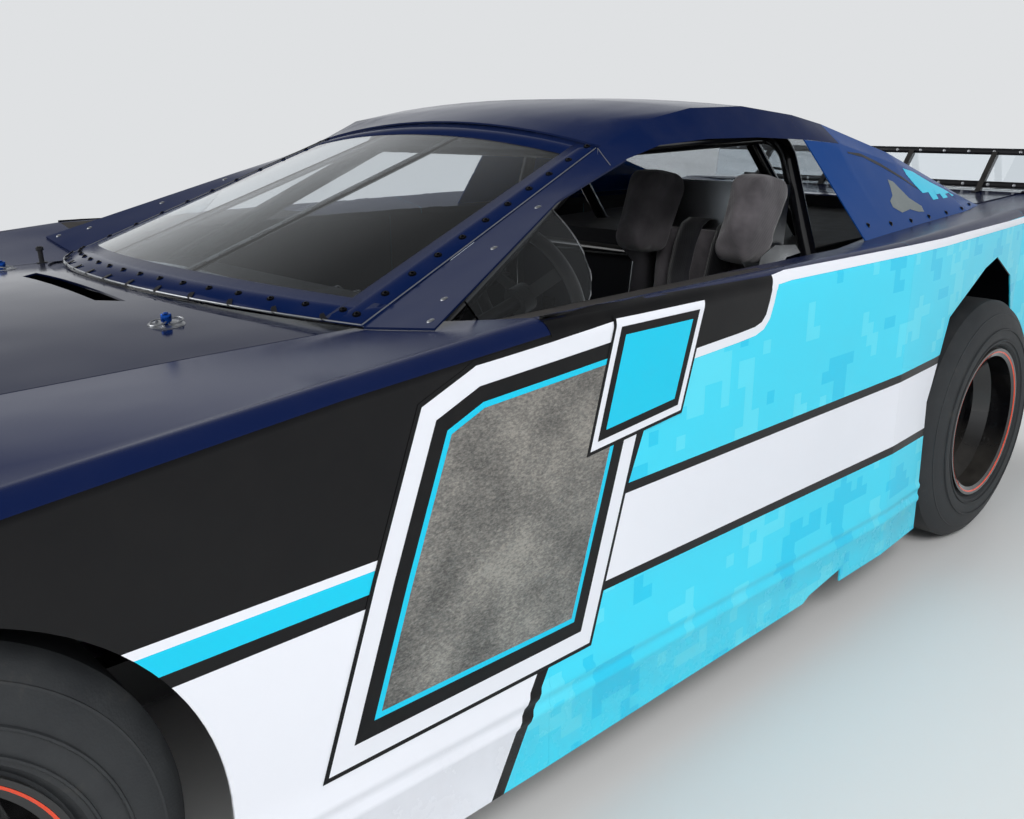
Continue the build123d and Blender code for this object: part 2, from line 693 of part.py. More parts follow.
def windscreen():
    """The curved clear windscreen, from its foot on the cowl up to the roof's front edge."""
    outer = screen_arcs()
    inner = [Pos(0, 0, -GLASS) * arc for arc in outer]
    pairs = [(outer[0], outer[1]), (inner[0], inner[1]), (outer[0], inner[0]), (outer[1], inner[1])]
    faces = [Face.make_surface_from_curves(a.edge(), b.edge()) for a, b in pairs]
    for end in (0, 1):
        faces.append(Face(Wire.make_polygon([curve @ end for curve in (outer[0], outer[1], inner[1], inner[0])])))
    return Solid(Shell(faces))


def windscreen_straps():
    """The two flat straps that back the windscreen on the inside."""
    low, high = screen_arcs()
    straps = []
    for share in (0.5 - STRAP_SHARE, 0.5 + STRAP_SHARE):
        a, b = low @ share, high @ share
        run = b - a
        start, end = a + run * 0.035, a + run * 0.97
        side = (low % share)
        side = (side - run.normalized() * side.dot(run.normalized())).normalized()
        plane = Plane(start, x_dir=side, z_dir=run)
        down = plane.y_dir if plane.y_dir.Z < 0 else plane.y_dir * -1
        drop = GLASS + SEAT_GAP + STRAP_THICK / 2
        plane.origin = start + down * drop
        straps.append(Solid.extrude(plane * Rectangle(STRAP_WIDTH, STRAP_THICK).face(), end - start))
    return Compound(straps)


def rear_window():
    """The clear rear window, from the roof's rear edge down between the sail panels to the deck."""
    x = ROOF_STATIONS[-1].x + SCREEN_LAP
    row = row_at(ROOF_STATIONS, x)
    y = row.crease_y - 2 * PANEL
    edges = [(x, y, roof_under(x, y) - SEAT_GAP, roof_under(x, 0) - SEAT_GAP)]
    for sail_row in SAIL_STATIONS[1:]:
        share = sail_row.glass
        z = sail_row.top_z - share * (sail_row.top_z - sail_row.side_z)
        y = sail_row.top_y + share * (sail_row.side_y - sail_row.top_y) - PANEL - SEAM
        edges.append((sail_row.x, y, z, z + sail_row.crown))
    return skin([across(x, [(y, z), (0, mid, 0), (-y, z), (-y, z - GLASS), (0, mid - GLASS, 0), (y, z - GLASS)])
                 for x, y, z, mid in edges])


def sail():
    """The left sail panel, from the side window's rear edge back along the rear window."""
    front = row_at(ROOF_STATIONS, SAIL_FRONT_X)
    back = SAIL_STATIONS[0]

    def foot(x, y):
        return y, shelf_z(x, y) + SEAT_GAP

    tops = [(SAIL_FRONT_X, (front.rail_y, front.rail_z - SEAT_GAP), foot(SAIL_FRONT_X, SAIL_FRONT_FOOT_Y)),
            (back.x, (back.side_y, back.side_z), foot(back.x, back.foot_y))]
    under = [across(x, [top, low, (low[0] - PANEL, low[1]), (top[0] - PANEL, top[1])]) for x, top, low in tops]
    behind = []
    for row in SAIL_STATIONS:
        line = [(row.top_y, row.top_z), (row.side_y, row.side_z), foot(row.x, row.foot_y)]
        behind.append(across(row.x, line + [(y - PANEL, z) for y, z in reversed(line)]))
    return skin(under) + skin(behind)


def wing_window():
    """The left clear wing window: its foot along the door's shelf, its front edge under the pillar."""
    crease, edge = pillar_lines()

    def sill(x):
        row = row_at(SIDE_STATIONS, x)
        return Vector(x, row.inner - SEAT_GAP, row.inner_z + SEAT_GAP)

    def under(x, share):
        return Vector(*along(at_x(crease[0], crease[1], x), at_x(edge[0], edge[1], x), share)) \
            - Vector(0, 0, PANEL + SEAT_GAP)

    low_back, low_front, high_back = sill(WING_BACK_X), sill(WING_FRONT_X), under(WING_TOP_X, WING_TOP_SHARE)
    normal = (low_front - low_back).cross(high_back - low_back).normalized()
    inner, outer = under(WING_FRONT_X, 0), under(WING_FRONT_X, 1)
    reach = (inner - low_back).dot(normal) / (inner - outer).dot(normal)
    high_front = inner + (outer - inner) * reach
    bow = (low_back + high_back) * 0.5 + (low_back - low_front).normalized() * WING_BOW
    outline = Wire([Line(low_front, low_back), ThreePointArc(low_back, bow, high_back),
                    Line(high_back, high_front), Line(high_front, low_front)])
    inward = normal if normal.Y < 0 else normal * -1
    return Solid.extrude(Face(outline), inward * GLASS)


# Deck

def hinge_axis():
    """The x and z of the deck lid's hinge."""
    return DECK_FRONT_X + HINGE_AHEAD, deck_z(DECK_FRONT_X) - HINGE_DROP


def across_bar(x, z, low_y, high_y, radius):
    """A round bar across the car."""
    return bar((x, low_y, z), (x, high_y, z), 2 * radius)


def deck_lid():
    """The deck lid between the quarter panels: its turned-down edge all round and its hinge barrels."""
    half = DECK_HALF - LID_SEAM

    def outline(x):
        z = deck_z(x)
        return across(x, [(half, z - LID_LIP), (half, z), (-half, z), (-half, z - LID_LIP),
                          (SHEET - half, z - LID_LIP), (SHEET - half, z - SHEET),
                          (half - SHEET, z - SHEET), (half - SHEET, z - LID_LIP)])

    lid = skin([outline(x) for x in (DECK_FRONT_X, SHELF_BACK_X, DECK_BACK_X)])
    for x, inward in ((DECK_FRONT_X, -SHEET), (DECK_BACK_X, SHEET)):
        top = deck_z(x)
        lid += box((min(x, x + inward), max(x, x + inward)), (-half, half), (top - LID_LIP, top - SHEET / 2))
    x, z = hinge_axis()
    for y in HINGE_PLACES:
        lid += across_bar(x, z, y - BARREL_HALF, y + BARREL_HALF, BARREL_RADIUS)
        lid -= across_bar(x, z, y - BARREL_HALF - 1, y + BARREL_HALF + 1, HINGE_PIN_RADIUS + RUNNING_FIT)
    return lid


def spoiler():
    """The clear spoiler sheet with its folded foot on the deck lid."""
    top = deck_z(SPOILER_X) + SEAT_GAP
    head_x, head_z = SPOILER_X - SPOILER_LEAN, top + SPOILER_HEIGHT
    foot = [(SPOILER_X + SPOILER_FOOT, top), (SPOILER_X, top), (head_x, head_z), (head_x + GLASS, head_z),
            (SPOILER_X + GLASS, top + GLASS), (SPOILER_X + SPOILER_FOOT, top + GLASS)]
    sheet = prism(foot, -SPOILER_HALF, SPOILER_HALF)
    over = box((SPOILER_X - 50, SPOILER_X + 100), (DECK_HALF - 10, HALF_WIDTH),
               (top - 10, SIDE_STATIONS[-1].shoulder + 8))
    return sheet - over - mirrored(over)


def spoiler_braces():
    """Slanting braces from the deck lid to the spoiler's upper edge."""
    front_x, back_x = SPOILER_X + 150, SPOILER_X + 100
    front_z, back_z = deck_z(front_x) + SEAT_GAP, deck_z(back_x) + SEAT_GAP
    head_x = SPOILER_X - SPOILER_LEAN + GLASS + 9
    head_z = deck_z(SPOILER_X) + SEAT_GAP + SPOILER_HEIGHT
    outline = [(front_x, front_z), (back_x, back_z), (back_x, back_z + BRACE_WALL), (head_x, head_z - 30),
               (head_x, head_z - 12), (head_x + 9, head_z - 12), (front_x - 30, front_z + BRACE_WALL),
               (front_x, front_z + BRACE_WALL)]
    return Compound([prism(outline, y - 10, y + 10) for y in BRACE_PLACES])


# Chassis

def nose_arc_x(z, y, inset):
    """The x of a line that follows the nose's face at height z, inset behind its outer side."""
    for a, b in zip(NOSE_LEVELS, NOSE_LEVELS[1:]):
        if a.z <= z <= b.z:
            back = a.back + (z - a.z) / (b.z - a.z) * (b.back - a.back)
    corner_y = HALF_WIDTH - NOSE_CORNER_IN
    radius = (corner_y ** 2 + NOSE_CORNER_SAG ** 2) / (2 * NOSE_CORNER_SAG)
    return NOSE_X - back - radius + ((radius - inset) ** 2 - y ** 2) ** 0.5


def front_bumper():
    """The tube behind the nose's face, bent to its curve, with its legs to the front rails."""
    inset = PANEL + 2 * SEAT_GAP + BUMPER_TUBE / 2
    half = CLIP_Y + 120
    ends = [(nose_arc_x(BUMPER_Z, y, inset), y, BUMPER_Z) for y in (-half, 0, half)]
    path = ThreePointArc(*ends)
    hoop = sweep(Plane(path @ 0, z_dir=path % 0) * Circle(BUMPER_TUBE / 2), path=path)
    leg = bar((RAIL_FRONT_X - 15, CLIP_Y + 2, FLOOR_Z), (nose_arc_x(BUMPER_Z, CLIP_Y, inset), CLIP_Y + 2, BUMPER_Z),
              BUMPER_TUBE - 4)
    return hoop + leg + mirrored(leg)


def rear_bumper():
    """The bent tube behind the tail's wall, with its ends on the rear rails."""
    x = TAIL_X + PANEL + SEAT_GAP + BUMPER_TUBE / 2
    start = (RAIL_REAR_X + 12, REAR_RAIL_Y, FLOOR_Z + REAR_LIFT - RAIL_HEIGHT / 2)
    corner = (x, REAR_RAIL_Y, REAR_BUMPER_Z)
    points = [start, corner, (corner[0], -corner[1], corner[2]), (start[0], -start[1], start[2])]
    return bent(points, 60, BUMPER_TUBE)


def frame_rails():
    """The perimeter frame: box rails with clips at both ends, cross-members, towers, mounts and bumpers."""
    z = (RAIL_BOTTOM, FLOOR_Z)
    lifted = (z[0] + FRONT_LIFT, z[1] + FRONT_LIFT)
    rear_z = (z[0] + REAR_LIFT, z[1] + REAR_LIFT)
    half = RAIL_WIDTH / 2
    clip = (CLIP_Y - half, CLIP_Y + half)
    side = box((REAR_CLIP_X, FRONT_CLIP_X), (RAIL_Y - half, RAIL_Y + half), z)
    front_rail = box((FRONT_CLIP_X - RAIL_WIDTH, RAIL_FRONT_X), clip, lifted)
    kick = prism([(REAR_CLIP_X + 60, z[0]), (REAR_CLIP_X + 60, z[1]), (220, z[1] + KICK_HEIGHT),
                  (-260, z[1] + KICK_HEIGHT), (-420, rear_z[1]), (RAIL_REAR_X, rear_z[1]),
                  (RAIL_REAR_X, rear_z[0]), (-480, rear_z[0]), (-320, z[0] + KICK_HEIGHT),
                  (160, z[0] + KICK_HEIGHT), (REAR_CLIP_X - 40, z[0])], REAR_RAIL_Y - half, REAR_RAIL_Y + half)
    coil_x = WHEELBASE - COIL_BACK
    tower_y = (clip[1] - TOWER_WALL, clip[1])
    rear_tower = box((coil_x - 30, WHEELBASE - ARM_PIVOT_X + 46), tower_y, (lifted[1] - 10, COIL_HEAD_Z + EYE_RADIUS))
    front_tower = box((WHEELBASE + ARM_PIVOT_X - 46, WHEELBASE + ARM_PIVOT_X), tower_y,
                      (lifted[1] - 10, TYRE_RADIUS + BALL_RISE + 32))
    cheeks = [box((x, x + BRACKET_WALL), (clip[1] - 2, COIL_HEAD_Y + EYE_RADIUS),
                  (COIL_HEAD_Z - 25, COIL_HEAD_Z + EYE_RADIUS))
              for x in (coil_x - EYE_HALF - 1 - BRACKET_WALL, coil_x + EYE_HALF + 1)]
    mount_x = ENGINE_BACK_X + MOUNT_BEHIND
    mount = box((mount_x, mount_x + MOUNT_LENGTH), (ENGINE_HALF - 30, clip[0] + 1), (z[1] - 40, lifted[1]))
    hanger = [box((x, x + 40), (REAR_RAIL_Y - half, REAR_RAIL_Y), (z[1], rear_z[0] + 5)) for x in cradle_places()]
    left = side + front_rail + kick + rear_tower + front_tower + cheeks + mount + hanger
    crosses = [
        box((FRONT_CLIP_X - RAIL_WIDTH, FRONT_CLIP_X), (-RAIL_Y - half, RAIL_Y + half), (z[1] - CROSS_HEIGHT, z[1])),
        box((REAR_CLIP_X - 20, REAR_CLIP_X + 60), (-RAIL_Y - half, RAIL_Y + half), z),
        box((WHEELBASE - 60, WHEELBASE + 60), (-CLIP_Y, CLIP_Y), (z[0] + 60, z[0] + 115)),
        box((RAIL_FRONT_X - 50, RAIL_FRONT_X), (-CLIP_Y, CLIP_Y), lifted),
        box((1050, 1110), (-RAIL_Y, RAIL_Y), (z[1] - CROSS_HEIGHT, z[1])),
        box((RAIL_REAR_X, RAIL_REAR_X + 50), (-REAR_RAIL_Y, REAR_RAIL_Y), rear_z),
    ]
    cradle = [box((x, x + 40), (-REAR_RAIL_Y, REAR_RAIL_Y), (z[1], CELL_BOTTOM - SEAT_GAP)) for x in cradle_places()]
    return left + mirrored(left) + crosses + cradle + front_bumper() + rear_bumper()


def cradle_places():
    """Where the two straps of the fuel cell's cradle begin."""
    return CELL_BACK_X + 60, CELL_FRONT_X - 100


def front_stay():
    """The ends of the left stay from the windscreen leg down to the front clip."""
    return (LEG_X - 45, RAIL_Y - 18, 640), (FRONT_STAY_X, CLIP_Y, FLOOR_Z + FRONT_LIFT)


def rear_stay():
    """The ends of the left stay from the main hoop down to the rear rail."""
    return (HOOP_X, HALO_Y - STAY_HEAD_IN, HALO_Z - 4), (STAY_FOOT_X, REAR_RAIL_Y, FLOOR_Z + KICK_HEIGHT)


def coil_cross():
    """The left end of the cross tube that carries the rear dampers, on the rear stay."""
    return at_x(*rear_stay(), COIL_CROSS_X)


def roll_cage():
    """The roll cage: main hoop, roof halo, windscreen legs, door bars, stays, and what holds the body panels."""
    foot = FLOOR_Z
    hoop = bent([(HOOP_X, -RAIL_Y, foot), (HOOP_X, -RAIL_Y, HOOP_BEND_Z), (HOOP_X, -HALO_Y, HALO_Z),
                 (HOOP_X, HALO_Y, HALO_Z), (HOOP_X, RAIL_Y, HOOP_BEND_Z), (HOOP_X, RAIL_Y, foot)], 90, TUBE)
    halo_y = HALO_Y - HALO_IN
    halo_front_z = HALO_Z - 20
    halo = bent([(HOOP_X, halo_y, HALO_Z), (HALO_FRONT_X, halo_y, halo_front_z),
                 (HALO_FRONT_X, -halo_y, halo_front_z), (HOOP_X, -halo_y, HALO_Z)], 90, TUBE - 1)
    door_bar = ((HOOP_X, RAIL_Y, DOOR_BAR_BACK_Z), DOOR_BAR_FRONT)
    left = [
        bent([(HALO_FRONT_X - 60, halo_y, halo_front_z - 4), (LEG_X - 60, RAIL_Y - 25, 760), (LEG_X, RAIL_Y, foot)],
             120, TUBE - 2),
        bar((HOOP_X, RAIL_Y, 600), (LEG_X - 35, RAIL_Y - 8, 560), TUBE - 3),
        bar(*door_bar, TUBE - 3),
        bar((800, RAIL_Y, foot), (800, RAIL_Y, 582), STAY_TUBE),
        bar((1250, RAIL_Y, foot), (1250, RAIL_Y, 570), STAY_TUBE),
        bar(*rear_stay(), STAY_TUBE),
        bar(*front_stay(), STAY_TUBE),
    ]
    for x in DOOR_BRACES:
        start = at_x(*door_bar, x)
        skin_y = row_at(SIDE_STATIONS, x).side - PANEL - SEAT_GAP - SEAM / 4
        left.append(bar(start, (x, skin_y, start[2]), CROSS_TUBE - 9))
    start = at_x(*front_stay(), FRONT_BRACE_X)
    left.append(bar(start, (FRONT_BRACE_X, HALF_WIDTH - PANEL - SEAT_GAP, start[2]), CROSS_TUBE - 9))
    reach = TAB_TUBE / 2
    for x in ROOF_TABS:
        start = at_x((HOOP_X, halo_y, HALO_Z), (HALO_FRONT_X, halo_y, halo_front_z), x)
        top = min(roof_under(px, halo_y + reach) for px in (x - reach, x + reach)) - SEAT_GAP
        left.append(bar(start, (x, halo_y, top), TAB_TUBE))
    cross = coil_cross()
    across_tubes = [
        bar((LEG_X - 52, 22 - RAIL_Y, 700), (LEG_X - 52, RAIL_Y - 22, 700), STAY_TUBE),
        bar((HOOP_X, 5 - RAIL_Y, HOOP_BEND_Z), (HOOP_X, RAIL_Y - 5, HOOP_BEND_Z), STAY_TUBE),
        bar((cross[0], -cross[1], cross[2]), cross, CROSS_TUBE),
    ]
    body = hoop.fuse(halo, *left, *[mirrored(piece) for piece in left], *across_tubes)
    return body - frame_rails()


def floor_pan():
    """The sheet floor on the frame rails."""
    z = FLOOR_Z + SEAT_GAP
    half = RAIL_Y - TUBE
    return box((REAR_CLIP_X + 70, FIREWALL_X - 10), (-half, half), (z, z + SHEET))


def column_at(x):
    """The point of the steering column's axis at x."""
    return at_x(WHEEL_CENTRE, COLUMN_FOOT, x)


def firewall():
    """The upright sheet between the engine bay and the cabin, with the crowned cowl on its top."""
    seat = PANEL + SEAT_GAP
    low = FLOOR_Z + SEAT_GAP
    top = row_at(FRONT_STATIONS, FIREWALL_X)
    drop = seat + PANEL / 2
    outline = across(FIREWALL_X, [(-FIREWALL_HALF, low), (FIREWALL_HALF, low), (FIREWALL_HALF, top.seam - drop),
                                  (0, top.hood - drop, 0), (-FIREWALL_HALF, top.seam - drop)])
    plate = Solid.extrude(outline, Vector(-SHEET, 0, 0))
    ends = (FIREWALL_X - SHEET, CREASE_X + SCREEN_BULGE + 100)
    cowl = skin([crown(row, seat, seat + PANEL, FENDER_SEAM_Y - LID_SEAM)
                 for row in rows_from(FRONT_STATIONS, *ends)]) & behind_curve(HOOD_GAP + COWL_LAP)
    tunnel = Pos(FIREWALL_X, 0, SHAFT_Z) * Rot(0, 90, 0) * Cylinder(TUNNEL_RADIUS, 40)
    steering = Pos(*column_at(FIREWALL_X)) * Rot(0, 90, 0) * Cylinder(COLUMN_DIAMETER / 2 + STAY_HOLE, 40)
    stay = bar(*front_stay(), STAY_TUBE + STAY_HOLE)
    return plate + cowl - tunnel - steering - stay - mirrored(stay)


def dash_panel():
    """The flat dash with its sloped face, under the windscreen's foot."""
    back = FIREWALL_X - SHEET - SEAT_GAP
    face = DASH_FACE_X
    outline = [(back, DASH_TOP), (face + 60, DASH_TOP), (face, DASH_TOP - 28), (face, DASH_TOP - 160),
               (face + SHEET, DASH_TOP - 160), (face + SHEET, DASH_TOP - 30), (face + 61, DASH_TOP - SHEET),
               (back, DASH_TOP - SHEET)]
    return prism(outline, -DASH_HALF, DASH_HALF) - bar(WHEEL_CENTRE, COLUMN_FOOT, COLUMN_DIAMETER + 12)


def rear_bulkhead():
    """The sheet behind the seat, the level shelf above the fuel cell and the flange that carries the lid's hinges."""
    x = HOOP_X - TUBE / 2 - SEAT_GAP - SHEET
    low = FLOOR_Z + 2 * SEAT_GAP + SHEET
    hinge_x, hinge_z = hinge_axis()
    flange_x = SAIL_STATIONS[-1].x + 2
    flange_top = hinge_z + EAR_RADIUS
    outline = [(x, low), (x, SHELF_FRONT_Z), (flange_x, SHELF_REAR_Z), (flange_x, flange_top),
               (flange_x + SHEET, flange_top), (flange_x + SHEET, SHELF_REAR_Z + SHEET),
               (x + SHEET, SHELF_FRONT_Z + SHEET), (x + SHEET, low)]
    panel = prism(outline, -BULKHEAD_HALF, BULKHEAD_HALF)
    stay = bar(*rear_stay(), STAY_TUBE + 10)
    tunnel = box((x - 10, x + 10), (-150, 150), (low - 10, 500))
    rails = box((x - 10, x + 10), (REAR_RAIL_Y - 35, REAR_RAIL_Y + 35), (low - 10, FLOOR_Z + KICK_HEIGHT + 10))
    panel = panel - stay - mirrored(stay) - tunnel - rails - mirrored(rails)
    for y in HINGE_PLACES:
        for side in (-1, 1):
            inner = y + side * (BARREL_HALF + 1)
            ends = sorted((inner, inner + side * 5))
            panel += across_bar(hinge_x, hinge_z, *ends, EAR_RADIUS)
            panel += box((hinge_x, flange_x + 1), ends, (hinge_z - EAR_RADIUS, hinge_z + EAR_RADIUS))
        panel += across_bar(hinge_x, hinge_z, y - BARREL_HALF - 3, y + BARREL_HALF + 3, HINGE_PIN_RADIUS)
    return panel


def engine_block():
    """The engine as one plain block at its place, with its carburettor."""
    x = ENGINE_BACK_X
    bottom = FLOOR_Z + FRONT_LIFT + SEAT_GAP
    block = box((x, x + ENGINE_LENGTH), (-ENGINE_HALF, ENGINE_HALF), (bottom, ENGINE_TOP))
    return block + box((x + 165, x + 385), (-110, 110), (ENGINE_TOP, ENGINE_TOP + 120))


def drive_shaft():
    """The gearbox with the shaft that runs to the rear axle."""
    bell_x = ENGINE_BACK_X - 75
    end = ENGINE_BACK_X - SEAT_GAP
    case = Pos(bell_x - 190, 0, SHAFT_Z) * Rot(0, 90, 0) * Cone(75, 115, 380)
    bell = Pos((bell_x + end) / 2, 0, SHAFT_Z) * Rot(0, 90, 0) * Cone(115, 130, end - bell_x)
    shaft = bar((bell_x - 380, 0, SHAFT_Z), (AXLE_NOSE_X + SEAT_GAP, 0, TYRE_RADIUS), SHAFT_DIAMETER)
    return case + bell + shaft


def rear_axle():
    """The live rear axle: a centre housing, tubes out to the hubs and the dampers' brackets."""
    housing = Pos(0, 0, TYRE_RADIUS) * Rot(90, 0, 0) * Cylinder(140, 110)
    nose_piece = bar((0, 0, TYRE_RADIUS), (AXLE_NOSE_X, 0, TYRE_RADIUS), 120)
    tube = across_bar(0, TYRE_RADIUS, -AXLE_TUBE_Y, AXLE_TUBE_Y, AXLE_TUBE / 2)
    end = WHEEL_Y["rear"] + DISC_OFFSET + 40
    spindle = across_bar(0, TYRE_RADIUS, -end, end, SPINDLE_RADIUS)
    axle = housing + nose_piece + tube + spindle
    x, _, z = REAR_COIL_FOOT
    for y in (REAR_COIL_Y - EYE_HALF - 1 - BRACKET_WALL, REAR_COIL_Y + EYE_HALF + 1):
        plate = prism([(x - 20, z - 20), (-20, z - 20), (0, TYRE_RADIUS), (-20, z + 55), (x - 20, z + 20)],
                      y, y + BRACKET_WALL)
        axle += plate + mirrored(plate)
    return axle


# Wheels

def turned(points, y):
    """A solid of revolution about a wheel's axle, from a closed outline of (offset, radius) points.
    Offset runs outward along the axle from the wheel's middle plane at y."""
    outline = Wire.make_polygon([(0, offset, radius) for offset, radius in points])
    return Pos(0, y, 0) * Solid.revolve(Face(outline), 360, Axis.Y)


def rim(y):
    """A wide deep-dished steel wheel with its hub and brake disc, for a wheel centred at y."""
    half = RIM_WIDTH / 2
    seat = RIM_RADIUS - BEAD_DROP
    well = RIM_RADIUS - WELL_DROP
    outer = [(-half, RIM_RADIUS), (-half + 8, RIM_RADIUS), (-half + 10, seat), (-half + 40, seat),
             (-half + 60, well), (half - 100, well), (half - 60, seat), (half - 10, seat), (half - 8, RIM_RADIUS),
             (half, RIM_RADIUS)]
    inner = [(half, RIM_RADIUS - 6), (half - 6, seat - RIM_WALL), (half - 62, seat - RIM_WALL),
             (half - 102, well - RIM_WALL), (-half + 58, well - RIM_WALL), (-half + 38, seat - RIM_WALL),
             (-half + 6, seat - RIM_WALL), (-half, RIM_RADIUS - 6)]
    barrel = turned(outer + inner, y)
    face = DISC_OFFSET
    bore = SPINDLE_RADIUS + RUNNING_FIT
    centre = turned([(face, bore), (face + 14, bore), (face + 14, 95), (face + 34, 125),
                     (face + 14, well - RIM_WALL - 12), (face + 14, well + 2), (face + 6, well + 2),
                     (face + 6, well - RIM_WALL - 20), (face + 24, 122), (face, 88)], y)
    hub = turned([(face - 60, bore), (face + 2, bore), (face + 2, HUB_RADIUS), (face - 12, HUB_RADIUS),
                  (face - 12, 60), (face - 60, 60)], y)
    rotor_in = face - 52
    rotor = turned([(rotor_in, 55), (rotor_in + 8, 55), (rotor_in + 8, 90), (rotor_in + ROTOR_WALL, 92),
                    (rotor_in + ROTOR_WALL, ROTOR_RADIUS), (rotor_in, ROTOR_RADIUS)], y)
    wheel = barrel + centre + hub + rotor
    for i in range(LUG_COUNT):
        angle = radians(90 + 360 * i / LUG_COUNT)
        middle = (LUG_CIRCLE * cos(angle), y + face + 22, LUG_CIRCLE * sin(angle))
        wheel += Pos(*middle) * Rot(90, 0, 0) * Cylinder(LUG_RADIUS, 34)
    for i in range(VENT_COUNT):
        angle = radians(18 + 360 * i / VENT_COUNT)
        middle = (VENT_CIRCLE * cos(angle), y + face + 20, VENT_CIRCLE * sin(angle))
        wheel -= Pos(*middle) * Rot(90, 0, 0) * Cylinder(VENT_RADIUS, 60)
    return wheel


def tyre(y):
    """A racing slick: square tread, rounded shoulders and sidewalls that lean out to the rim."""
    half = RIM_WIDTH / 2
    tread = TREAD_WIDTH / 2
    bead = RIM_RADIUS - BEAD_DROP + SEAT_GAP
    flange = half - 10 - SEAT_GAP
    crown_in = TYRE_RADIUS - 16
    outer = [(flange, bead), (flange, RIM_RADIUS + 4), (half + 2, RIM_RADIUS + 14), (half + TYRE_BULGE, RIM_RADIUS + 40),
             (half, RIM_RADIUS + 80), (tread + 6, TYRE_RADIUS - 15), (tread - 12, TYRE_RADIUS - 1),
             (tread - 50, TYRE_RADIUS)]
    back = [(-offset, radius) for offset, radius in reversed(outer)]
    inner = [(-flange + 22, bead), (-half + TYRE_WALL, RIM_RADIUS + 60), (-tread + 12, crown_in),
             (tread - 12, crown_in), (half - TYRE_WALL, RIM_RADIUS + 60), (flange - 22, bead)]
    return turned(outer + back + inner, y)


# Suspension and steering

def knuckle():
    """The left front upright: spindle, ball joint arms, steering arm and brake caliper."""
    y = WHEEL_Y["front"] + DISC_OFFSET
    x, z = WHEELBASE, TYRE_RADIUS
    inboard = y - 75
    low, high = z - BALL_DROP, z + BALL_RISE
    spindle = bar((x, inboard, z), (x, y + 40, z), 2 * SPINDLE_RADIUS)
    upright = box((x - 28, x + 28), (inboard - 24, inboard + 6), (low, high))
    lower = box((x - 22, x + 22), (PIVOT_Y - 22, inboard - 10), (low, low + 28))
    upper = box((x - 22, x + 22), (PIVOT_Y - 22, inboard - 10), (high - 28, high))
    arm = box((x - 22, x + STEER_ARM + 18), (inboard - 22, inboard), (z - 60, z - 34))
    caliper = box((x - 148, x - 80), (y - 76, y - 6), (z - 45, z + 45))
    rotor = Pos(x, y - 38, z) * Rot(90, 0, 0) * Cylinder(ROTOR_RADIUS + 5, ROTOR_WALL + 12)
    bracket = box((x - 150, x - 20), (inboard - 20, inboard - 4), (z - 30, z + 30))
    tie = box((x - 146, x - 110), (inboard - 20, y - 70), (z - 30, z + 30))
    pins = bar((x, PIVOT_Y, low - 10), (x, PIVOT_Y, high + 10), 2 * (BALL_PIN_RADIUS + RUNNING_FIT))
    return (spindle + upright + lower + upper + arm + bracket + (caliper - rotor) + tie) - pins


def control_arm(z, spread, thick):
    """One left A-shaped arm from the frame clip out to the ball joint, its lower face at z."""
    x = WHEELBASE
    clip = CLIP_Y + RAIL_WIDTH / 2 + SEAT_GAP
    outline = [(x - spread, clip), (x - spread + 46, clip), (x, PIVOT_Y - 70), (x + spread - 46, clip),
               (x + spread, clip), (x + 26, PIVOT_Y - 8), (x + 26, PIVOT_Y + 22), (x - 26, PIVOT_Y + 22),
               (x - 26, PIVOT_Y - 8)]
    face = Face(Wire.make_polygon([(px, py, z) for px, py in outline]))
    return Solid.extrude(face, Vector(0, 0, thick))


def suspension_arms():
    """The front lower and upper arms out to the ball joints, and the rear trailing arms up to the axle."""
    x = WHEELBASE
    low_z, high_z = TYRE_RADIUS - BALL_DROP - SEAT_GAP, TYRE_RADIUS + BALL_RISE + SEAT_GAP
    shelf = box((x - COIL_BACK - 25, x - COIL_BACK + 30), (COIL_FOOT_Y - 30, COIL_FOOT_Y + 30), (low_z - 22, low_z))
    pin = 2 * BALL_PIN_RADIUS
    lower = control_arm(low_z - 22, 190, 22) + shelf + bar((x, PIVOT_Y, low_z - 10), (x, PIVOT_Y, low_z + 26), pin)
    upper = control_arm(high_z, ARM_PIVOT_X, 20) + bar((x, PIVOT_Y, high_z + 10), (x, PIVOT_Y, high_z - 26), pin)
    trailing = bar((REAR_CLIP_X - 34, LINK_Y, 172), (14, LINK_Y, TYRE_RADIUS - 52), 32)
    tab = box((REAR_CLIP_X - 44, REAR_CLIP_X - 20 - SEAT_GAP), (LINK_Y - 18, LINK_Y + 18), (150, 195))
    axle = Pos(0, LINK_Y, TYRE_RADIUS) * Rot(90, 0, 0)
    eye = axle * (Cylinder(62, 30) - Cylinder(AXLE_TUBE / 2 + RUNNING_FIT, 40))
    link = (trailing + tab) - axle * Cylinder(45, 60) + eye
    return Compound([*both(lower).solids(), *both(upper).solids(), *both(link).solids()])


COIL_FOOT_Y = 470.0
REAR_COIL_FOOT = (-75.0, REAR_COIL_Y, 288.0)


def coil_over(low, high, eye_axis):
    """A damper with its coil spring, between an eye at its foot and one at its head."""
    radius = 34.0
    wire = 8.0
    a, b = Vector(*low), Vector(*high)
    run = b - a

    def stretch(start, end, size):
        return bar(tuple(a + run * start), tuple(a + run * end), 2 * size)

    damper = stretch(0, 0.6, 20) + stretch(0.55, 1, 8)
    spring = stretch(0.3, 0.88, radius + wire) - stretch(0.28, 0.9, radius)
    perches = stretch(0.28, 0.3, radius + wire + 4) + stretch(0.88, 0.9, radius + wire + 4)
    for centre in (a, b):
        side = Vector(*eye_axis) * EYE_HALF
        damper += bar(tuple(centre - side), tuple(centre + side), 2 * EYE_RADIUS)
    return damper + spring + perches


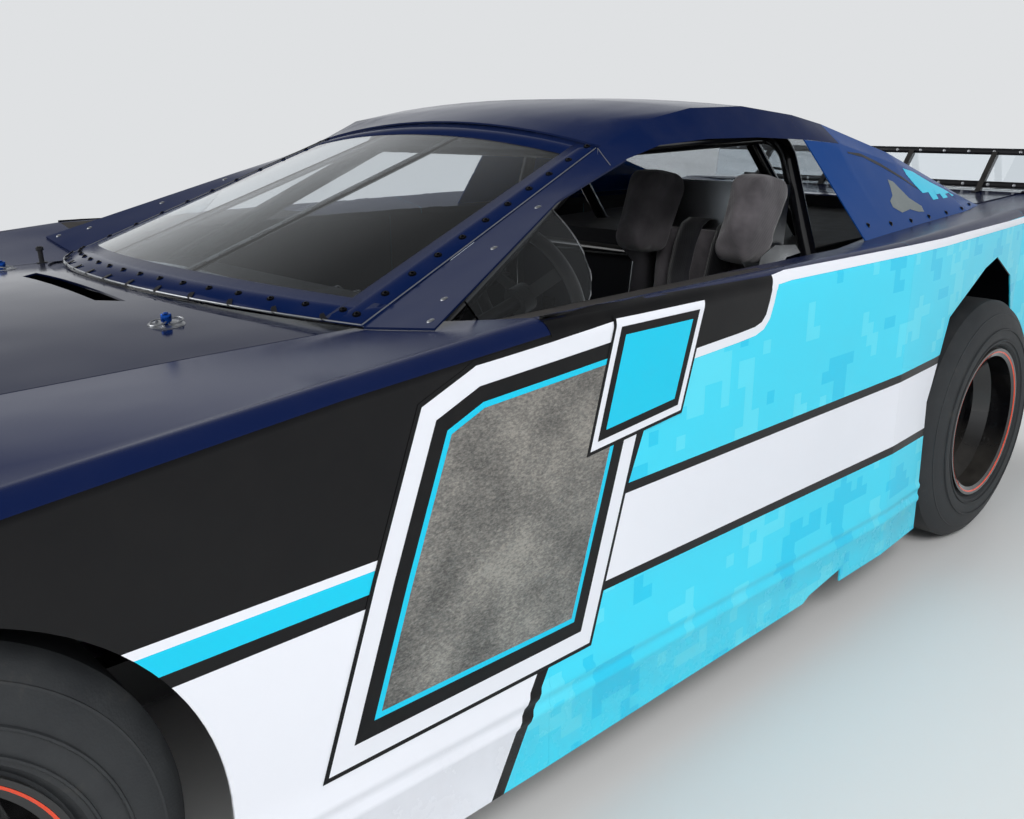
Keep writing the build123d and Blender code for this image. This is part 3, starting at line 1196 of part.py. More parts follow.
def coil_overs():
    """The four coil-over dampers: the front pair on the lower arms, the rear pair on the axle's brackets."""
    x = WHEELBASE - COIL_BACK
    foot_z = TYRE_RADIUS - BALL_DROP + EYE_RADIUS
    front = coil_over((x, COIL_FOOT_Y, foot_z), (x, COIL_HEAD_Y, COIL_HEAD_Z), (1, 0, 0))
    cross = coil_cross()
    head = (cross[0], REAR_COIL_Y - 30, cross[2] - CROSS_TUBE / 2 - SEAT_GAP - EYE_RADIUS)
    rear = coil_over(REAR_COIL_FOOT, head, (0, 1, 0))
    return Compound([*both(front).solids(), *both(rear).solids()])


def steering_gear():
    """The column, the shaft down past the engine and the rack housing on the front rails, as one piece."""
    housing = across_bar(RACK_X, RACK_Z, -RACK_HALF, RACK_HALF, RACK_RADIUS)
    pinion = box((RACK_X - 30, RACK_X + 30), (PINION_Y - 30, PINION_Y + 30), (RACK_Z + RACK_RADIUS - 6, RACK_Z + 56))
    rail_top = FLOOR_Z + FRONT_LIFT
    foot = box((RACK_X - 20, RACK_X + 20), (CLIP_Y - 20, CLIP_Y), (rail_top + SEAT_GAP, RACK_Z - BAR_RADIUS - 6))
    wheel, low = Vector(*WHEEL_CENTRE), Vector(*COLUMN_FOOT)
    column = bar(tuple(wheel + (low - wheel).normalized() * (WHEEL_HUB_DEPTH + SEAT_GAP)), COLUMN_FOOT, COLUMN_DIAMETER)
    shaft = bar(COLUMN_FOOT, (RACK_X - 10, PINION_Y, RACK_Z + 44), LINK_SHAFT)
    back = FIREWALL_X - SHEET - SEAT_GAP
    x, y, z = column_at(back)
    boss = bar((back - 6, y, z), (back, y, z), COLUMN_DIAMETER + 2 * STAY_HOLE + 30)
    gear = housing + pinion + foot + mirrored(foot) + column + shaft + boss
    return gear - across_bar(RACK_X, RACK_Z, -RACK_HALF - 1, RACK_HALF + 1, BAR_RADIUS + RUNNING_FIT)


def tie_rods():
    """The rack's bar with a tie rod and eye at each end, sliding in the housing."""
    body = across_bar(RACK_X, RACK_Z, -PIVOT_Y, PIVOT_Y, BAR_RADIUS)
    for side in (-1, 1):
        body += Pos(RACK_X, side * PIVOT_Y, RACK_Z) * Cylinder(18, 28)
    return body


def steering_wheel():
    """The three-spoke steering wheel on its quick-release hub."""
    centre = Vector(*WHEEL_CENTRE)
    axis = (centre - Vector(*COLUMN_FOOT)).normalized()
    plane = Plane(centre, x_dir=(0, 1, 0), z_dir=axis)
    body = Solid.make_torus(WHEEL_GRIP, GRIP_RADIUS, plane)
    body += Solid.make_cylinder(34, WHEEL_HUB_DEPTH - 0.5, plane.offset(-WHEEL_HUB_DEPTH))
    for i in range(3):
        body += plane * Rot(0, 0, 90 + 120 * i) * Pos(WHEEL_GRIP / 2 + 4, 0, -6) * Box(WHEEL_GRIP - 8, 30, 5)
    return body


# Cabin and running gear

def seat_outline(points):
    """An outline of the seat's table, moved to the seat's place in the car."""
    return [(SEAT_BACK_X + x, z) for x, z in points]


def seat_shell():
    """The aluminium racing seat: pan, back, side panels with head wings, and its floor brackets."""
    wide = SEAT_WIDTH / 2
    back = SEAT_BACK_X
    shell = prism(seat_outline(SEAT_BACK), SEAT_Y - wide, SEAT_Y + wide)
    floor = FLOOR_Z + 2 * SEAT_GAP + SHEET
    foot = [(back + 60, floor), (back + 420, floor), (back + 420, 317), (back + 60, 265)]
    for y in (SEAT_Y - wide, SEAT_Y + wide - SHEET):
        shell += prism(seat_outline(SEAT_SIDE), y, y + SHEET)
    for y in (SEAT_Y - 150, SEAT_Y + 145):
        shell += prism(foot, y, y + 5)
    return shell


def bolster():
    """The left head and shoulder bolster: a soft-edged block that wraps the seat's head wing."""
    wing_y = SEAT_Y + SEAT_WIDTH / 2
    low, high = wing_y - SHEET - SEAT_GAP - BOLSTER_THICK, wing_y + SEAT_GAP + COVER_THICK
    block = prism(seat_outline(SEAT_BOLSTER), low, high)
    block = fillet(block.edges().filter_by(Axis.Y), BOLSTER_CORNER)
    ends = block.faces().sort_by(Axis.Y)
    block = fillet([*ends[0].edges(), *ends[-1].edges()], PAD_EDGE)
    wing = Wire.make_polygon([(x, low, z) for x, z in seat_outline(SEAT_SIDE)])
    slot = Solid.extrude(Face(wing.offset_2d(SEAT_GAP)), Vector(0, SHEET + 2 * SEAT_GAP, 0))
    return block - Pos(0, BOLSTER_THICK, 0) * slot


def seat_pads():
    """The seat's padding: cushion, back pad and the two head and shoulder bolsters."""
    half = SEAT_WIDTH / 2 - SHEET - SEAT_GAP
    cushion = seat_outline([(90, 276), (510, 338), (502, 380), (80, 330)])
    rest = seat_outline([(40, 345), (80, 350), (33, 860), (-5, 860)])
    low, high = SEAT_Y - half, SEAT_Y + half
    pads = [fillet(pad.edges(), PAD_EDGE) for pad in (prism(cushion, low, high), prism(rest, low, high))]
    left = bolster()
    return Compound([*pads, left, mirror(left, about=Plane.XZ.offset(-SEAT_Y))])


def radiator():
    """The radiator on the front cross-member, behind the nose."""
    return box((RAIL_FRONT_X - 50, RAIL_FRONT_X - 5), (-320, 320), (FLOOR_Z + FRONT_LIFT + SEAT_GAP, 600))


def fuel_cell():
    """The square fuel cell on its cradle between the rear rails."""
    return box((CELL_BACK_X, CELL_FRONT_X), (-CELL_HALF, CELL_HALF), (CELL_BOTTOM, CELL_TOP))


def exhaust():
    """The two exhaust pipes from the engine back under the floor."""
    low = FLOOR_Z - CROSS_HEIGHT - 5 - EXHAUST / 2
    side = ENGINE_HALF + 56
    x = ENGINE_BACK_X + 385
    return both(bent([(x, ENGINE_HALF + SEAT_GAP, 340), (x, side, 340), (x - 220, side, low),
                      (EXHAUST_END_X, side, low)], 45, EXHAUST))


if __name__ == "__main__":
    os.makedirs("parts", exist_ok=True)
    SINGLE = [nose, grille, hood, roof, windscreen, windscreen_straps, rear_window, tail_cover, deck_lid, spoiler,
              spoiler_braces, frame_rails, roll_cage, floor_pan, firewall, dash_panel, rear_bulkhead, engine_block,
              drive_shaft, rear_axle, suspension_arms, coil_overs, steering_gear, tie_rods, steering_wheel,
              seat_shell, seat_pads, radiator, fuel_cell, exhaust]
    for make in SINGLE:
        write(make(), make.__name__)
    write(both(wing_window()), "wing_windows")
    for make in (fender, door, quarter, sail, knuckle):
        piece = make()
        write(piece, f"{make.__name__}_left")
        write(mirrored(piece), f"{make.__name__}_right")
    for end, x in (("front", WHEELBASE), ("rear", 0)):
        for make in (rim, tyre):
            piece = Pos(x, 0, TYRE_RADIUS) * make(WHEEL_Y[end])
            write(piece, f"{make.__name__}_{end}_left")
            write(mirrored(piece), f"{make.__name__}_{end}_right")
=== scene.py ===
"""Looks of a pavement stock car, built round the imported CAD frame."""
import logging
import math
from dataclasses import dataclass, field
from enum import Enum

import bmesh
import bpy
from mathutils import Matrix, Vector
from mathutils.bvhtree import BVHTree


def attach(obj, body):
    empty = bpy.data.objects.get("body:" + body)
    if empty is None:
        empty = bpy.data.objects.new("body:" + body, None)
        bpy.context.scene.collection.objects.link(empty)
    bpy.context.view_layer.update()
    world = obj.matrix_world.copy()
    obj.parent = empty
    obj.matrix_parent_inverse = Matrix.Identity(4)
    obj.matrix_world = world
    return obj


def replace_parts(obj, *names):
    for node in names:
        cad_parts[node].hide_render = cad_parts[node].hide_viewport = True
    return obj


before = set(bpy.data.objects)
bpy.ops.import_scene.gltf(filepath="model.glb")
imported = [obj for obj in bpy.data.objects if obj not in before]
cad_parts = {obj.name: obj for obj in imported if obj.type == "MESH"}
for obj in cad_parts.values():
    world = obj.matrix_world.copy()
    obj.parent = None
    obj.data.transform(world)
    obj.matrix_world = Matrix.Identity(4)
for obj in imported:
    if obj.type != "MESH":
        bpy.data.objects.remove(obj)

LOG = logging.getLogger("stock_car")
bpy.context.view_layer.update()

# The car is measured in millimetres in its axle frame: x forward from the rear axle, y left, z up.
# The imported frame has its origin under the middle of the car, MID_X ahead of the rear axle.
MID_X = 1288.5
MM = 0.001
WHEELBASE = 2667.0
TYRE_RADIUS = 338.0
SIDES = {"left": 1, "right": -1}
SIDE_PANELS = tuple(f"{panel}_{side}" for panel in ("fender", "door", "quarter") for side in SIDES)
WHEELS = tuple(f"{end}_{side}" for end in ("front", "rear") for side in SIDES)

Tree = bpy.types.NodeTree
Node = bpy.types.Node
Socket = bpy.types.NodeSocket
Outline = list[tuple[float, float]]


def place(x: float, y: float, z: float) -> Vector:
    """A point of the axle frame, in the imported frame's metres.

    Args:
        x: millimetres forward of the rear axle.
        y: millimetres to the left.
        z: millimetres above the ground.

    Returns:
        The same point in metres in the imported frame.
    """
    return Vector(((x - MID_X) * MM, y * MM, z * MM))


def per_metre(size_mm: float) -> float:
    """A texture's scale, from the real size of what it draws."""
    return 1000.0 / size_mm


def linear(colour: str) -> tuple[float, float, float, float]:
    """An sRGB hex colour as linear numbers.

    Args:
        colour: six hex digits after a hash sign.

    Returns:
        Red, green, blue and alpha, from 0 to 1.
    """
    parts = [int(colour[i:i + 2], 16) / 255 for i in (1, 3, 5)]
    return tuple(p / 12.92 if p <= 0.04045 else ((p + 0.055) / 1.055) ** 2.4 for p in parts) + (1.0,)


def output(source: Node | Socket) -> Socket:
    """A node's first output, or the socket itself."""
    return source.outputs[0] if isinstance(source, Node) else source


def add(tree: Tree, kind: str, links: dict | None = None, stops: list | None = None,
        family: str = "ShaderNode", **settings: object) -> Node:
    """Adds one node with its settings and its links.

    Args:
        tree: the node tree.
        kind: the node's type, without its family's name.
        links: for each input's name or number, a node or a socket to link, or a value to set.
        stops: for a colour ramp, its (position, linear colour) pairs.
        family: the family's name, with which the type begins.
        settings: the node's own settings by name.

    Returns:
        The new node.
    """
    made = tree.nodes.new(family + kind)
    for name, value in settings.items():
        setattr(made, name, value)
    for socket, value in (links or {}).items():
        if isinstance(value, (Node, Socket)):
            tree.links.new(output(value), made.inputs[socket])
        else:
            made.inputs[socket].default_value = value
    if stops:
        ramp = made.color_ramp
        while len(ramp.elements) < len(stops):
            ramp.elements.new(1.0)
        for element, (position, colour) in zip(ramp.elements, stops):
            element.position = position
            element.color = colour
    return made


# Finishes


@dataclass(frozen=True)
class Coat:
    """A material in the making: its tree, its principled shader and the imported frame's coordinates."""

    tree: Tree
    shader: Node
    coords: Socket

    def drive(self, name: str, source: Node | Socket) -> None:
        """Links a node or a socket to one of the shader's inputs."""
        self.tree.links.new(output(source), self.shader.inputs[name])

    def bump(self, height: Node | Socket, depth_mm: float) -> None:
        """Adds a height to the shader's normal.

        Args:
            height: the height from 0 to 1.
            depth_mm: the real depth of that height.
        """
        bumped = add(self.tree, "Bump", {"Height": height, "Strength": 1.0, "Distance": depth_mm * MM})
        before = self.shader.inputs["Normal"].links
        if before:
            self.tree.links.new(before[0].from_socket, bumped.inputs["Normal"])
        self.drive("Normal", bumped)


@dataclass(frozen=True)
class Finish:
    """The start of every finish: a principled surface with its name and its plain numbers."""

    name: str
    colour: str
    roughness: float = 0.4
    metallic: float = 0.0
    ior: float = 1.5
    coat: float = 0.0
    specular: float = 0.5

    def pattern(self, coat: Coat) -> None:
        """Works the finish's own pattern into a material in the making: here none."""

    def material(self) -> bpy.types.Material:
        """The finished material, with its principled shader and its pattern."""
        made = bpy.data.materials.new(self.name)
        made.use_nodes = True
        tree = made.node_tree
        tree.nodes.clear()
        shader = add(tree, "BsdfPrincipled", {
            "Base Color": linear(self.colour), "Roughness": self.roughness, "Metallic": self.metallic,
            "IOR": self.ior, "Coat Weight": self.coat, "Specular IOR Level": self.specular})
        add(tree, "OutputMaterial", {"Surface": shader})
        self.pattern(Coat(tree, shader, add(tree, "TexCoord").outputs["Object"]))
        return made


@dataclass(frozen=True)
class MouldedPlastic(Finish):
    """Glass-filled nylon from a spark-eroded mould.

    The eye sees a fine even grain and a gloss that changes a little from patch to patch.
    """

    grain_mm: float = 2.38
    grain_depth_mm: float = 0.05
    patch_mm: float = 111.0

    def pattern(self, coat: Coat) -> None:
        """Works in the grain and the patchy gloss.

        Args:
            coat: the material in the making.
        """
        tree, coords = coat.tree, coat.coords
        grain = add(tree, "TexNoise", {"Vector": coords, "Scale": per_metre(self.grain_mm), "Detail": 3.0})
        patch = add(tree, "TexNoise", {"Vector": coords, "Scale": per_metre(self.patch_mm), "Detail": 4.0})
        rough = add(tree, "MapRange", {"Value": patch, "To Min": self.roughness * 0.8,
                                       "To Max": self.roughness * 1.25})
        coat.drive("Roughness", rough)
        coat.bump(grain, self.grain_depth_mm)


@dataclass(frozen=True)
class VinylWrap(Finish):
    """Cast vinyl film laid by hand over thin sheet panels and given a gloss laminate.

    The eye sees deep even colour, a soft wave in the reflections where the sheet is not flat,
    a fine pebble in the highlights and road dust along the skirt. The pebble is drawn 5 mm wide
    so that it shows.
    """

    wave_mm: float = 222.2
    wave_depth_mm: float = 3.6
    pebble_mm: float = 5.0
    pebble_depth_mm: float = 0.03
    dust_mm: float = 71.4
    dust: float = 0.55

    def ink(self, coat: Coat) -> tuple | Socket:
        """The printed colour: here one even ink."""
        return linear(self.colour)

    def pattern(self, coat: Coat) -> None:
        """Works in the wave, the pebble and the dust.

        Args:
            coat: the material in the making.
        """
        tree, coords = coat.tree, coat.coords
        ink = self.ink(coat)
        for size, depth in ((self.wave_mm, self.wave_depth_mm), (self.pebble_mm, self.pebble_depth_mm)):
            uneven = add(tree, "TexNoise", {"Vector": coords, "Scale": per_metre(size), "Detail": 1.0})
            coat.bump(uneven, depth)
        # dust from the track lies thickest 100 mm above the ground and fades out at 300 mm
        low = add(tree, "MapRange", {"Value": add(tree, "SeparateXYZ", {"Vector": coords}).outputs["Z"],
                                     "From Min": 0.1, "From Max": 0.3, "To Min": 0.55, "To Max": 0.03})
        spread = add(tree, "TexNoise", {"Vector": coords, "Scale": per_metre(self.dust_mm), "Detail": 6.0,
                                        "Roughness": 0.65})
        grit = add(tree, "ValToRGB", {"Fac": spread},
                   stops=[(0.42, linear("#000000")), (0.75, linear("#ffffff"))])
        share = add(tree, "Math", {0: low, 1: grit}, operation="MULTIPLY")
        share = add(tree, "Math", {0: share, 1: self.dust}, operation="MULTIPLY")
        mixed = add(tree, "Mix", {0: share, 6: ink, 7: linear("#8d857a")}, data_type="RGBA")
        coat.drive("Base Color", mixed.outputs[2])
        rough = add(tree, "MapRange", {"Value": share, "To Min": self.roughness, "To Max": 0.75})
        coat.drive("Roughness", rough)


@dataclass(frozen=True)
class Line:
    """A straight border on the car's side, from one (x, z) point to another in millimetres."""

    x: float
    z: float
    to_x: float
    to_z: float

    def moved(self, x: float) -> "Line":
        """The same border further forward."""
        return Line(self.x + x, self.z, self.to_x + x, self.to_z)


@dataclass(frozen=True)
class Band:
    """A stripe of the side's print: above one line, below another, and within its length if it has one."""

    low: Line
    high: Line
    colour: str
    length: tuple[float, float] | None = None


def level(z: float) -> Line:
    """A level border at z."""
    return Line(0.0, z, 1000.0, z)


WHITE = "#eceef5"
BLACK = "#0e0e10"
CYAN = "#16ccee"
SLASH = Line(1764.0, 312.0, 1868.0, 119.0)
# the front's stripes from the skirt up, by the height where each begins
FRONT_STEPS = ((0.0, WHITE), (539.0, BLACK), (558.0, CYAN), (589.0, WHITE), (602.0, BLACK), (2000.0, BLACK))
FRONT_BANDS = tuple(Band(level(z), level(to_z), colour)
                    for (z, colour), (to_z, _) in zip(FRONT_STEPS, FRONT_STEPS[1:]))
# the white stripe behind the plate, with a black line along each edge
STRIPE_LENGTH = (300.0, 1740.0)
STRIPE_FOOT = Line(1606.0, 396.0, 328.0, 377.0)
STRIPE_HEAD = Line(1551.0, 574.0, 300.0, 579.0)
REAR_BANDS = (
    Band(STRIPE_FOOT, STRIPE_HEAD, WHITE, STRIPE_LENGTH),
    Band(Line(1551.0, 557.0, 300.0, 559.0), STRIPE_HEAD, BLACK, STRIPE_LENGTH),
    Band(STRIPE_FOOT, Line(1606.0, 412.0, 328.0, 398.0), BLACK, STRIPE_LENGTH),
)


@dataclass(frozen=True)
class SidePrint(VinylWrap):
    """The same film printed with the side's picture, and dark navy on everything that faces up: the print's
    black top, with its navy tint a painted reflection of the sky.

    The eye sees crisp 26 mm squares in three cyans that join into patches about 190 mm across,
    level stripes with sharp edges, a black slash, and the white and black front.
    """

    light: str = "#5be3fa"
    dark: str = "#2ad0f3"
    # the top's navy tint over black is a painted reflection of the sky
    top: str = "#0a183e"
    cell_mm: float = 26.0
    cluster_mm: float = 192.31
    seam_x: float = 1737.0
    slash_width: float = 26.0

    @staticmethod
    def above(tree: Tree, apart: Node, line: Line) -> Socket:
        """Whether the surface is above a border.

        Args:
            tree: the material's tree.
            apart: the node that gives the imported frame's x and z.
            line: the border.

        Returns:
            One above it and zero below.
        """
        slope = (line.to_z - line.z) / (line.to_x - line.x)
        base = (line.z + slope * (MID_X - line.x)) * MM
        fall = add(tree, "Math", {0: apart.outputs["X"], 1: -slope, 2: apart.outputs["Z"]},
                   operation="MULTIPLY_ADD")
        return output(add(tree, "Math", {0: fall, 1: base}, operation="GREATER_THAN"))

    def printed(self, tree: Tree, apart: Node, ink: Socket, bands: tuple[Band, ...]) -> Socket:
        """Prints stripes over a colour.

        Args:
            tree: the material's tree.
            apart: the node that gives x and z.
            ink: the colour below.
            bands: the stripes in the order of printing.

        Returns:
            The printed colour.
        """
        for band in bands:
            low, high = (self.above(tree, apart, line) for line in (band.low, band.high))
            inside = add(tree, "Math", {0: low, 1: high}, operation="SUBTRACT")
            for operation, x in zip(("GREATER_THAN", "LESS_THAN"), band.length or ()):
                end = add(tree, "Math", {0: apart.outputs["X"], 1: (x - MID_X) * MM}, operation=operation)
                inside = add(tree, "Math", {0: inside, 1: end}, operation="MULTIPLY")
            ink = add(tree, "Mix", {0: inside, 6: ink, 7: linear(band.colour)}, data_type="RGBA").outputs[2]
        return ink

    def camouflage(self, tree: Tree, apart: Node) -> Socket:
        """The three cyans in clusters of squares.

        Args:
            tree: the material's tree.
            apart: the node that gives x, y and z.

        Returns:
            The colour.
        """
        # y joins x, so that the tail carries the squares too
        along = add(tree, "Math", {0: apart.outputs["Y"], 1: 0.8, 2: apart.outputs["X"]},
                    operation="MULTIPLY_ADD")
        flat = add(tree, "CombineXYZ", {"X": along, "Z": apart.outputs["Z"]})
        cell = self.cell_mm * MM
        squares = add(tree, "VectorMath", {0: flat, 1: (cell, 1.0, cell)}, operation="SNAP")
        cluster = add(tree, "TexNoise", {"Vector": squares, "Scale": per_metre(self.cluster_mm),
                                         "Detail": 2.0, "Roughness": 0.6})
        ground = linear(self.colour)
        tones = add(tree, "ValToRGB", {"Fac": cluster}, stops=[
            (0.0, linear(self.dark)), (0.41, ground), (0.57, linear(self.light)), (0.66, ground)])
        tones.color_ramp.interpolation = "CONSTANT"
        return output(tones)

    def ink(self, coat: Coat) -> tuple | Socket:
        """The whole print, with the dark top laid over it, tinted navy as a painted reflection of the sky.

        Args:
            coat: the material in the making.

        Returns:
            The colour's socket.
        """
        tree = coat.tree
        apart = add(tree, "SeparateXYZ", {"Vector": coat.coords})
        rear = self.printed(tree, apart, self.camouflage(tree, apart), REAR_BANDS)
        front = self.printed(tree, apart, rear, FRONT_BANDS)
        # the front's print begins at the door's seam, and below the plate at the slanting slash
        seam = add(tree, "Math", {0: apart.outputs["X"], 1: (self.seam_x - MID_X) * MM},
                   operation="GREATER_THAN")
        ahead = self.above(tree, apart, SLASH)
        before = self.above(tree, apart, SLASH.moved(-self.slash_width))
        both = add(tree, "Math", {0: seam, 1: ahead}, operation="MULTIPLY")
        ink = add(tree, "Mix", {0: both, 6: rear, 7: front}, data_type="RGBA").outputs[2]
        slash = add(tree, "Math", {0: before, 1: ahead}, operation="SUBTRACT")
        low = add(tree, "Math", {0: apart.outputs["Z"], 1: SLASH.z * MM}, operation="LESS_THAN")
        slash = add(tree, "Math", {0: slash, 1: low}, operation="MULTIPLY")
        ink = add(tree, "Mix", {0: slash, 6: ink, 7: linear(BLACK)}, data_type="RGBA").outputs[2]
        # faces that point up take the dark top: the print's black, tinted navy as a painted reflection of the
        # sky
        rise = add(tree, "SeparateXYZ", {"Vector": add(tree, "NewGeometry").outputs["Normal"]}).outputs["Z"]
        up = add(tree, "Math", {0: rise, 1: 0.5}, operation="GREATER_THAN")
        return add(tree, "Mix", {0: up, 6: ink, 7: linear(self.top)}, data_type="RGBA").outputs[2]


@dataclass(frozen=True)
class ChromeFilm(Finish):
    """Mirror film on vinyl, with the waves of the sheet below it.

    The eye sees a bent picture of its surroundings, a cloudy tone that is a painted reflection of speckled
    asphalt, and a grain of about 3 mm that lies a little along the sweep of the squeegee.
    """

    wave_mm: float = 200.0
    wave_depth_mm: float = 3.0
    grain_mm: tuple[float, float, float] = (6.25, 3.333, 3.03)
    grain_depth_mm: float = 0.08
    cloud_mm: float = 142.9
    sweep_deg: float = 15.0

    def pattern(self, coat: Coat) -> None:
        """Works in the waves, the grain and the cloudy tone, a painted reflection of speckled asphalt.

        Args:
            coat: the material in the making.
        """
        tree, coords = coat.tree, coat.coords
        wave = add(tree, "TexNoise", {"Vector": coords, "Scale": per_metre(self.wave_mm), "Detail": 1.0})
        coat.bump(wave, self.wave_depth_mm)
        swept = add(tree, "Mapping", {"Vector": coords, "Rotation": (0.0, math.radians(self.sweep_deg), 0.0),
                                      "Scale": tuple(per_metre(size) for size in self.grain_mm)})
        grain = add(tree, "TexNoise", {"Vector": swept, "Scale": 1.0, "Detail": 4.0, "Roughness": 0.7})
        coat.bump(grain, self.grain_depth_mm)
        # the cloudy grey colour, mixed from the grain and the cloud, is a painted reflection of speckled
        # asphalt
        cloud = add(tree, "TexNoise", {"Vector": coords, "Scale": per_metre(self.cloud_mm), "Detail": 5.0,
                                       "Roughness": 0.55})
        both = add(tree, "Math", {0: grain, 1: cloud}, operation="ADD")
        share = add(tree, "MapRange", {"Value": both, "From Min": 0.6, "From Max": 1.4})
        coat.drive("Base Color", add(tree, "ValToRGB", {"Fac": share}, stops=[
            (0.2, linear("#646361")), (0.5, linear("#8b8884")), (0.8, linear("#b5b0a8"))]))


@dataclass(frozen=True)
class ClearSheet(Finish):
    """Extruded polycarbonate sheet, bent cold over its supports.

    The eye sees nearly clear plastic with a faint smoke tint, slow waves and a haze of cleaning scratches.
    """

    wave_mm: float = 333.3
    wave_depth_mm: float = 1.2
    scratch_mm: tuple[float, float, float] = (55.6, 1.85, 55.6)
    haze: float = 0.03

    def pattern(self, coat: Coat) -> None:
        """Works in the waves and the haze.

        Args:
            coat: the material in the making.
        """
        tree, coords = coat.tree, coat.coords
        coat.shader.inputs["Transmission Weight"].default_value = 1.0
        wave = add(tree, "TexNoise", {"Vector": coords, "Scale": per_metre(self.wave_mm), "Detail": 0.0})
        coat.bump(wave, self.wave_depth_mm)
        turned = add(tree, "Mapping", {"Vector": coords, "Rotation": (0.3, 0.2, 0.9),
                                       "Scale": tuple(per_metre(size) for size in self.scratch_mm)})
        scratch = add(tree, "TexNoise", {"Vector": turned, "Scale": 1.0, "Detail": 6.0})
        coat.drive("Roughness", add(tree, "MapRange", {"Value": scratch, "From Min": 0.55, "From Max": 0.8,
                                                       "To Min": 0.0, "To Max": self.haze}))


@dataclass(frozen=True)
class CoatedSteel(Finish):
    """Powder coat or enamel baked on steel.

    The eye sees a thick smooth skin with an even pebble, drawn 3 mm wide so that it shows, a soft highlight
    and a little dust on what faces up.
    """

    pebble_mm: float = 3.03
    pebble_depth_mm: float = 0.06
    dust_mm: float = 45.5

    def pattern(self, coat: Coat) -> None:
        """Works in the pebble and the settled dust.

        Args:
            coat: the material in the making.
        """
        tree, coords = coat.tree, coat.coords
        pebble = add(tree, "TexNoise", {"Vector": coords, "Scale": per_metre(self.pebble_mm), "Detail": 1.0})
        coat.bump(pebble, self.pebble_depth_mm)
        rise = add(tree, "SeparateXYZ", {"Vector": add(tree, "NewGeometry").outputs["Normal"]}).outputs["Z"]
        spread = add(tree, "TexNoise", {"Vector": coords, "Scale": per_metre(self.dust_mm), "Detail": 5.0})
        lies = add(tree, "MapRange", {"Value": rise, "From Min": 0.3, "To Max": 0.35})
        share = add(tree, "Math", {0: lies, 1: spread}, operation="MULTIPLY")
        mixed = add(tree, "Mix", {0: share, 6: linear(self.colour), 7: linear("#7d776f")}, data_type="RGBA")
        coat.drive("Base Color", mixed.outputs[2])
        rough = add(tree, "MapRange", {"Value": share, "From Max": 0.3, "To Min": self.roughness,
                                       "To Max": 0.7})
        coat.drive("Roughness", rough)


@dataclass(frozen=True)
class BrushedSheet(Finish):
    """Rolled, sanded or turned metal and composite with the lines of its tool.

    The eye sees long fine lines, a stretched highlight and dull patches from handling.
    """

    line_mm: float = 1.5
    line_length_mm: float = 75.0
    line_depth_mm: float = 0.04
    patch_mm: float = 83.3

    def pattern(self, coat: Coat) -> None:
        """Works in the lines and the dull patches.

        Args:
            coat: the material in the making.
        """
        tree, coords = coat.tree, coat.coords
        scale = tuple(per_metre(size) for size in (self.line_length_mm, self.line_mm, self.line_mm))
        lines = add(tree, "TexNoise", {"Vector": add(tree, "Mapping", {"Vector": coords, "Scale": scale}),
                                       "Scale": 1.0, "Detail": 3.0})
        patch = add(tree, "TexNoise", {"Vector": coords, "Scale": per_metre(self.patch_mm), "Detail": 5.0})
        both = add(tree, "Math", {0: lines, 1: patch}, operation="ADD")
        coat.drive("Roughness", add(tree, "MapRange", {"Value": both, "From Min": 0.6, "From Max": 1.4,
                                                       "To Min": self.roughness * 0.75,
                                                       "To Max": self.roughness * 1.5}))
        coat.bump(lines, self.line_depth_mm)


@dataclass(frozen=True)
class SlickRubber(Finish):
    """Moulded rubber of a racing slick, scrubbed on its tread.

    The eye sees a grey-black skin, dry and finely pitted, with clouds of brown dust on the wall.
    """

    pit_mm: float = 3.85
    pit_depth_mm: float = 0.25
    cloud_mm: float = 62.5
    cloud_depth_mm: float = 0.6

    def pattern(self, coat: Coat) -> None:
        """Works in the pits and the dusty clouds.

        Args:
            coat: the material in the making.
        """
        tree, coords = coat.tree, coat.coords
        pits = add(tree, "TexVoronoi", {"Vector": coords, "Scale": per_metre(self.pit_mm)})
        cloud = add(tree, "TexNoise", {"Vector": coords, "Scale": per_metre(self.cloud_mm), "Detail": 6.0,
                                       "Roughness": 0.65})
        coat.bump(pits, self.pit_depth_mm)
        coat.bump(cloud, self.cloud_depth_mm)
        coat.drive("Base Color", add(tree, "ValToRGB", {"Fac": cloud}, stops=[
            (0.3, linear(self.colour)), (0.62, linear("#323436")), (0.85, linear("#4e4a46"))]))
        coat.drive("Roughness", add(tree, "MapRange", {"Value": cloud, "To Min": 0.45, "To Max": 0.9}))


@dataclass(frozen=True)
class KnitFabric(Finish):
    """Close spacer knit over foam, as on a racing seat.

    The eye sees rows of small loops that catch the light, and a soft grey bloom where it is worn.
    """

    loop_mm: float = 3.0
    loop_depth_mm: float = 0.22
    worn_mm: float = 90.9
    worn: str = "#757074"

    def pattern(self, coat: Coat) -> None:
        """Works in the loops and the bloom.

        Args:
            coat: the material in the making.
        """
        tree, coords = coat.tree, coat.coords
        scale = per_metre(self.loop_mm)
        rows = add(tree, "TexWave", {"Vector": coords, "Scale": scale / math.tau, "Distortion": 0.6},
                   bands_direction="DIAGONAL").outputs["Fac"]
        loops = add(tree, "TexVoronoi", {"Vector": coords, "Scale": scale})
        coat.bump(add(tree, "Math", {0: rows, 1: loops}, operation="ADD"), self.loop_depth_mm)
        bloom = add(tree, "TexNoise", {"Vector": coords, "Scale": per_metre(self.worn_mm), "Detail": 5.0})
        coat.drive("Base Color", add(tree, "ValToRGB", {"Fac": bloom}, stops=[
            (0.35, linear(self.colour)), (0.75, linear(self.worn))]))
        coat.shader.inputs["Sheen Weight"].default_value = 0.35
        coat.shader.inputs["Sheen Roughness"].default_value = 0.5


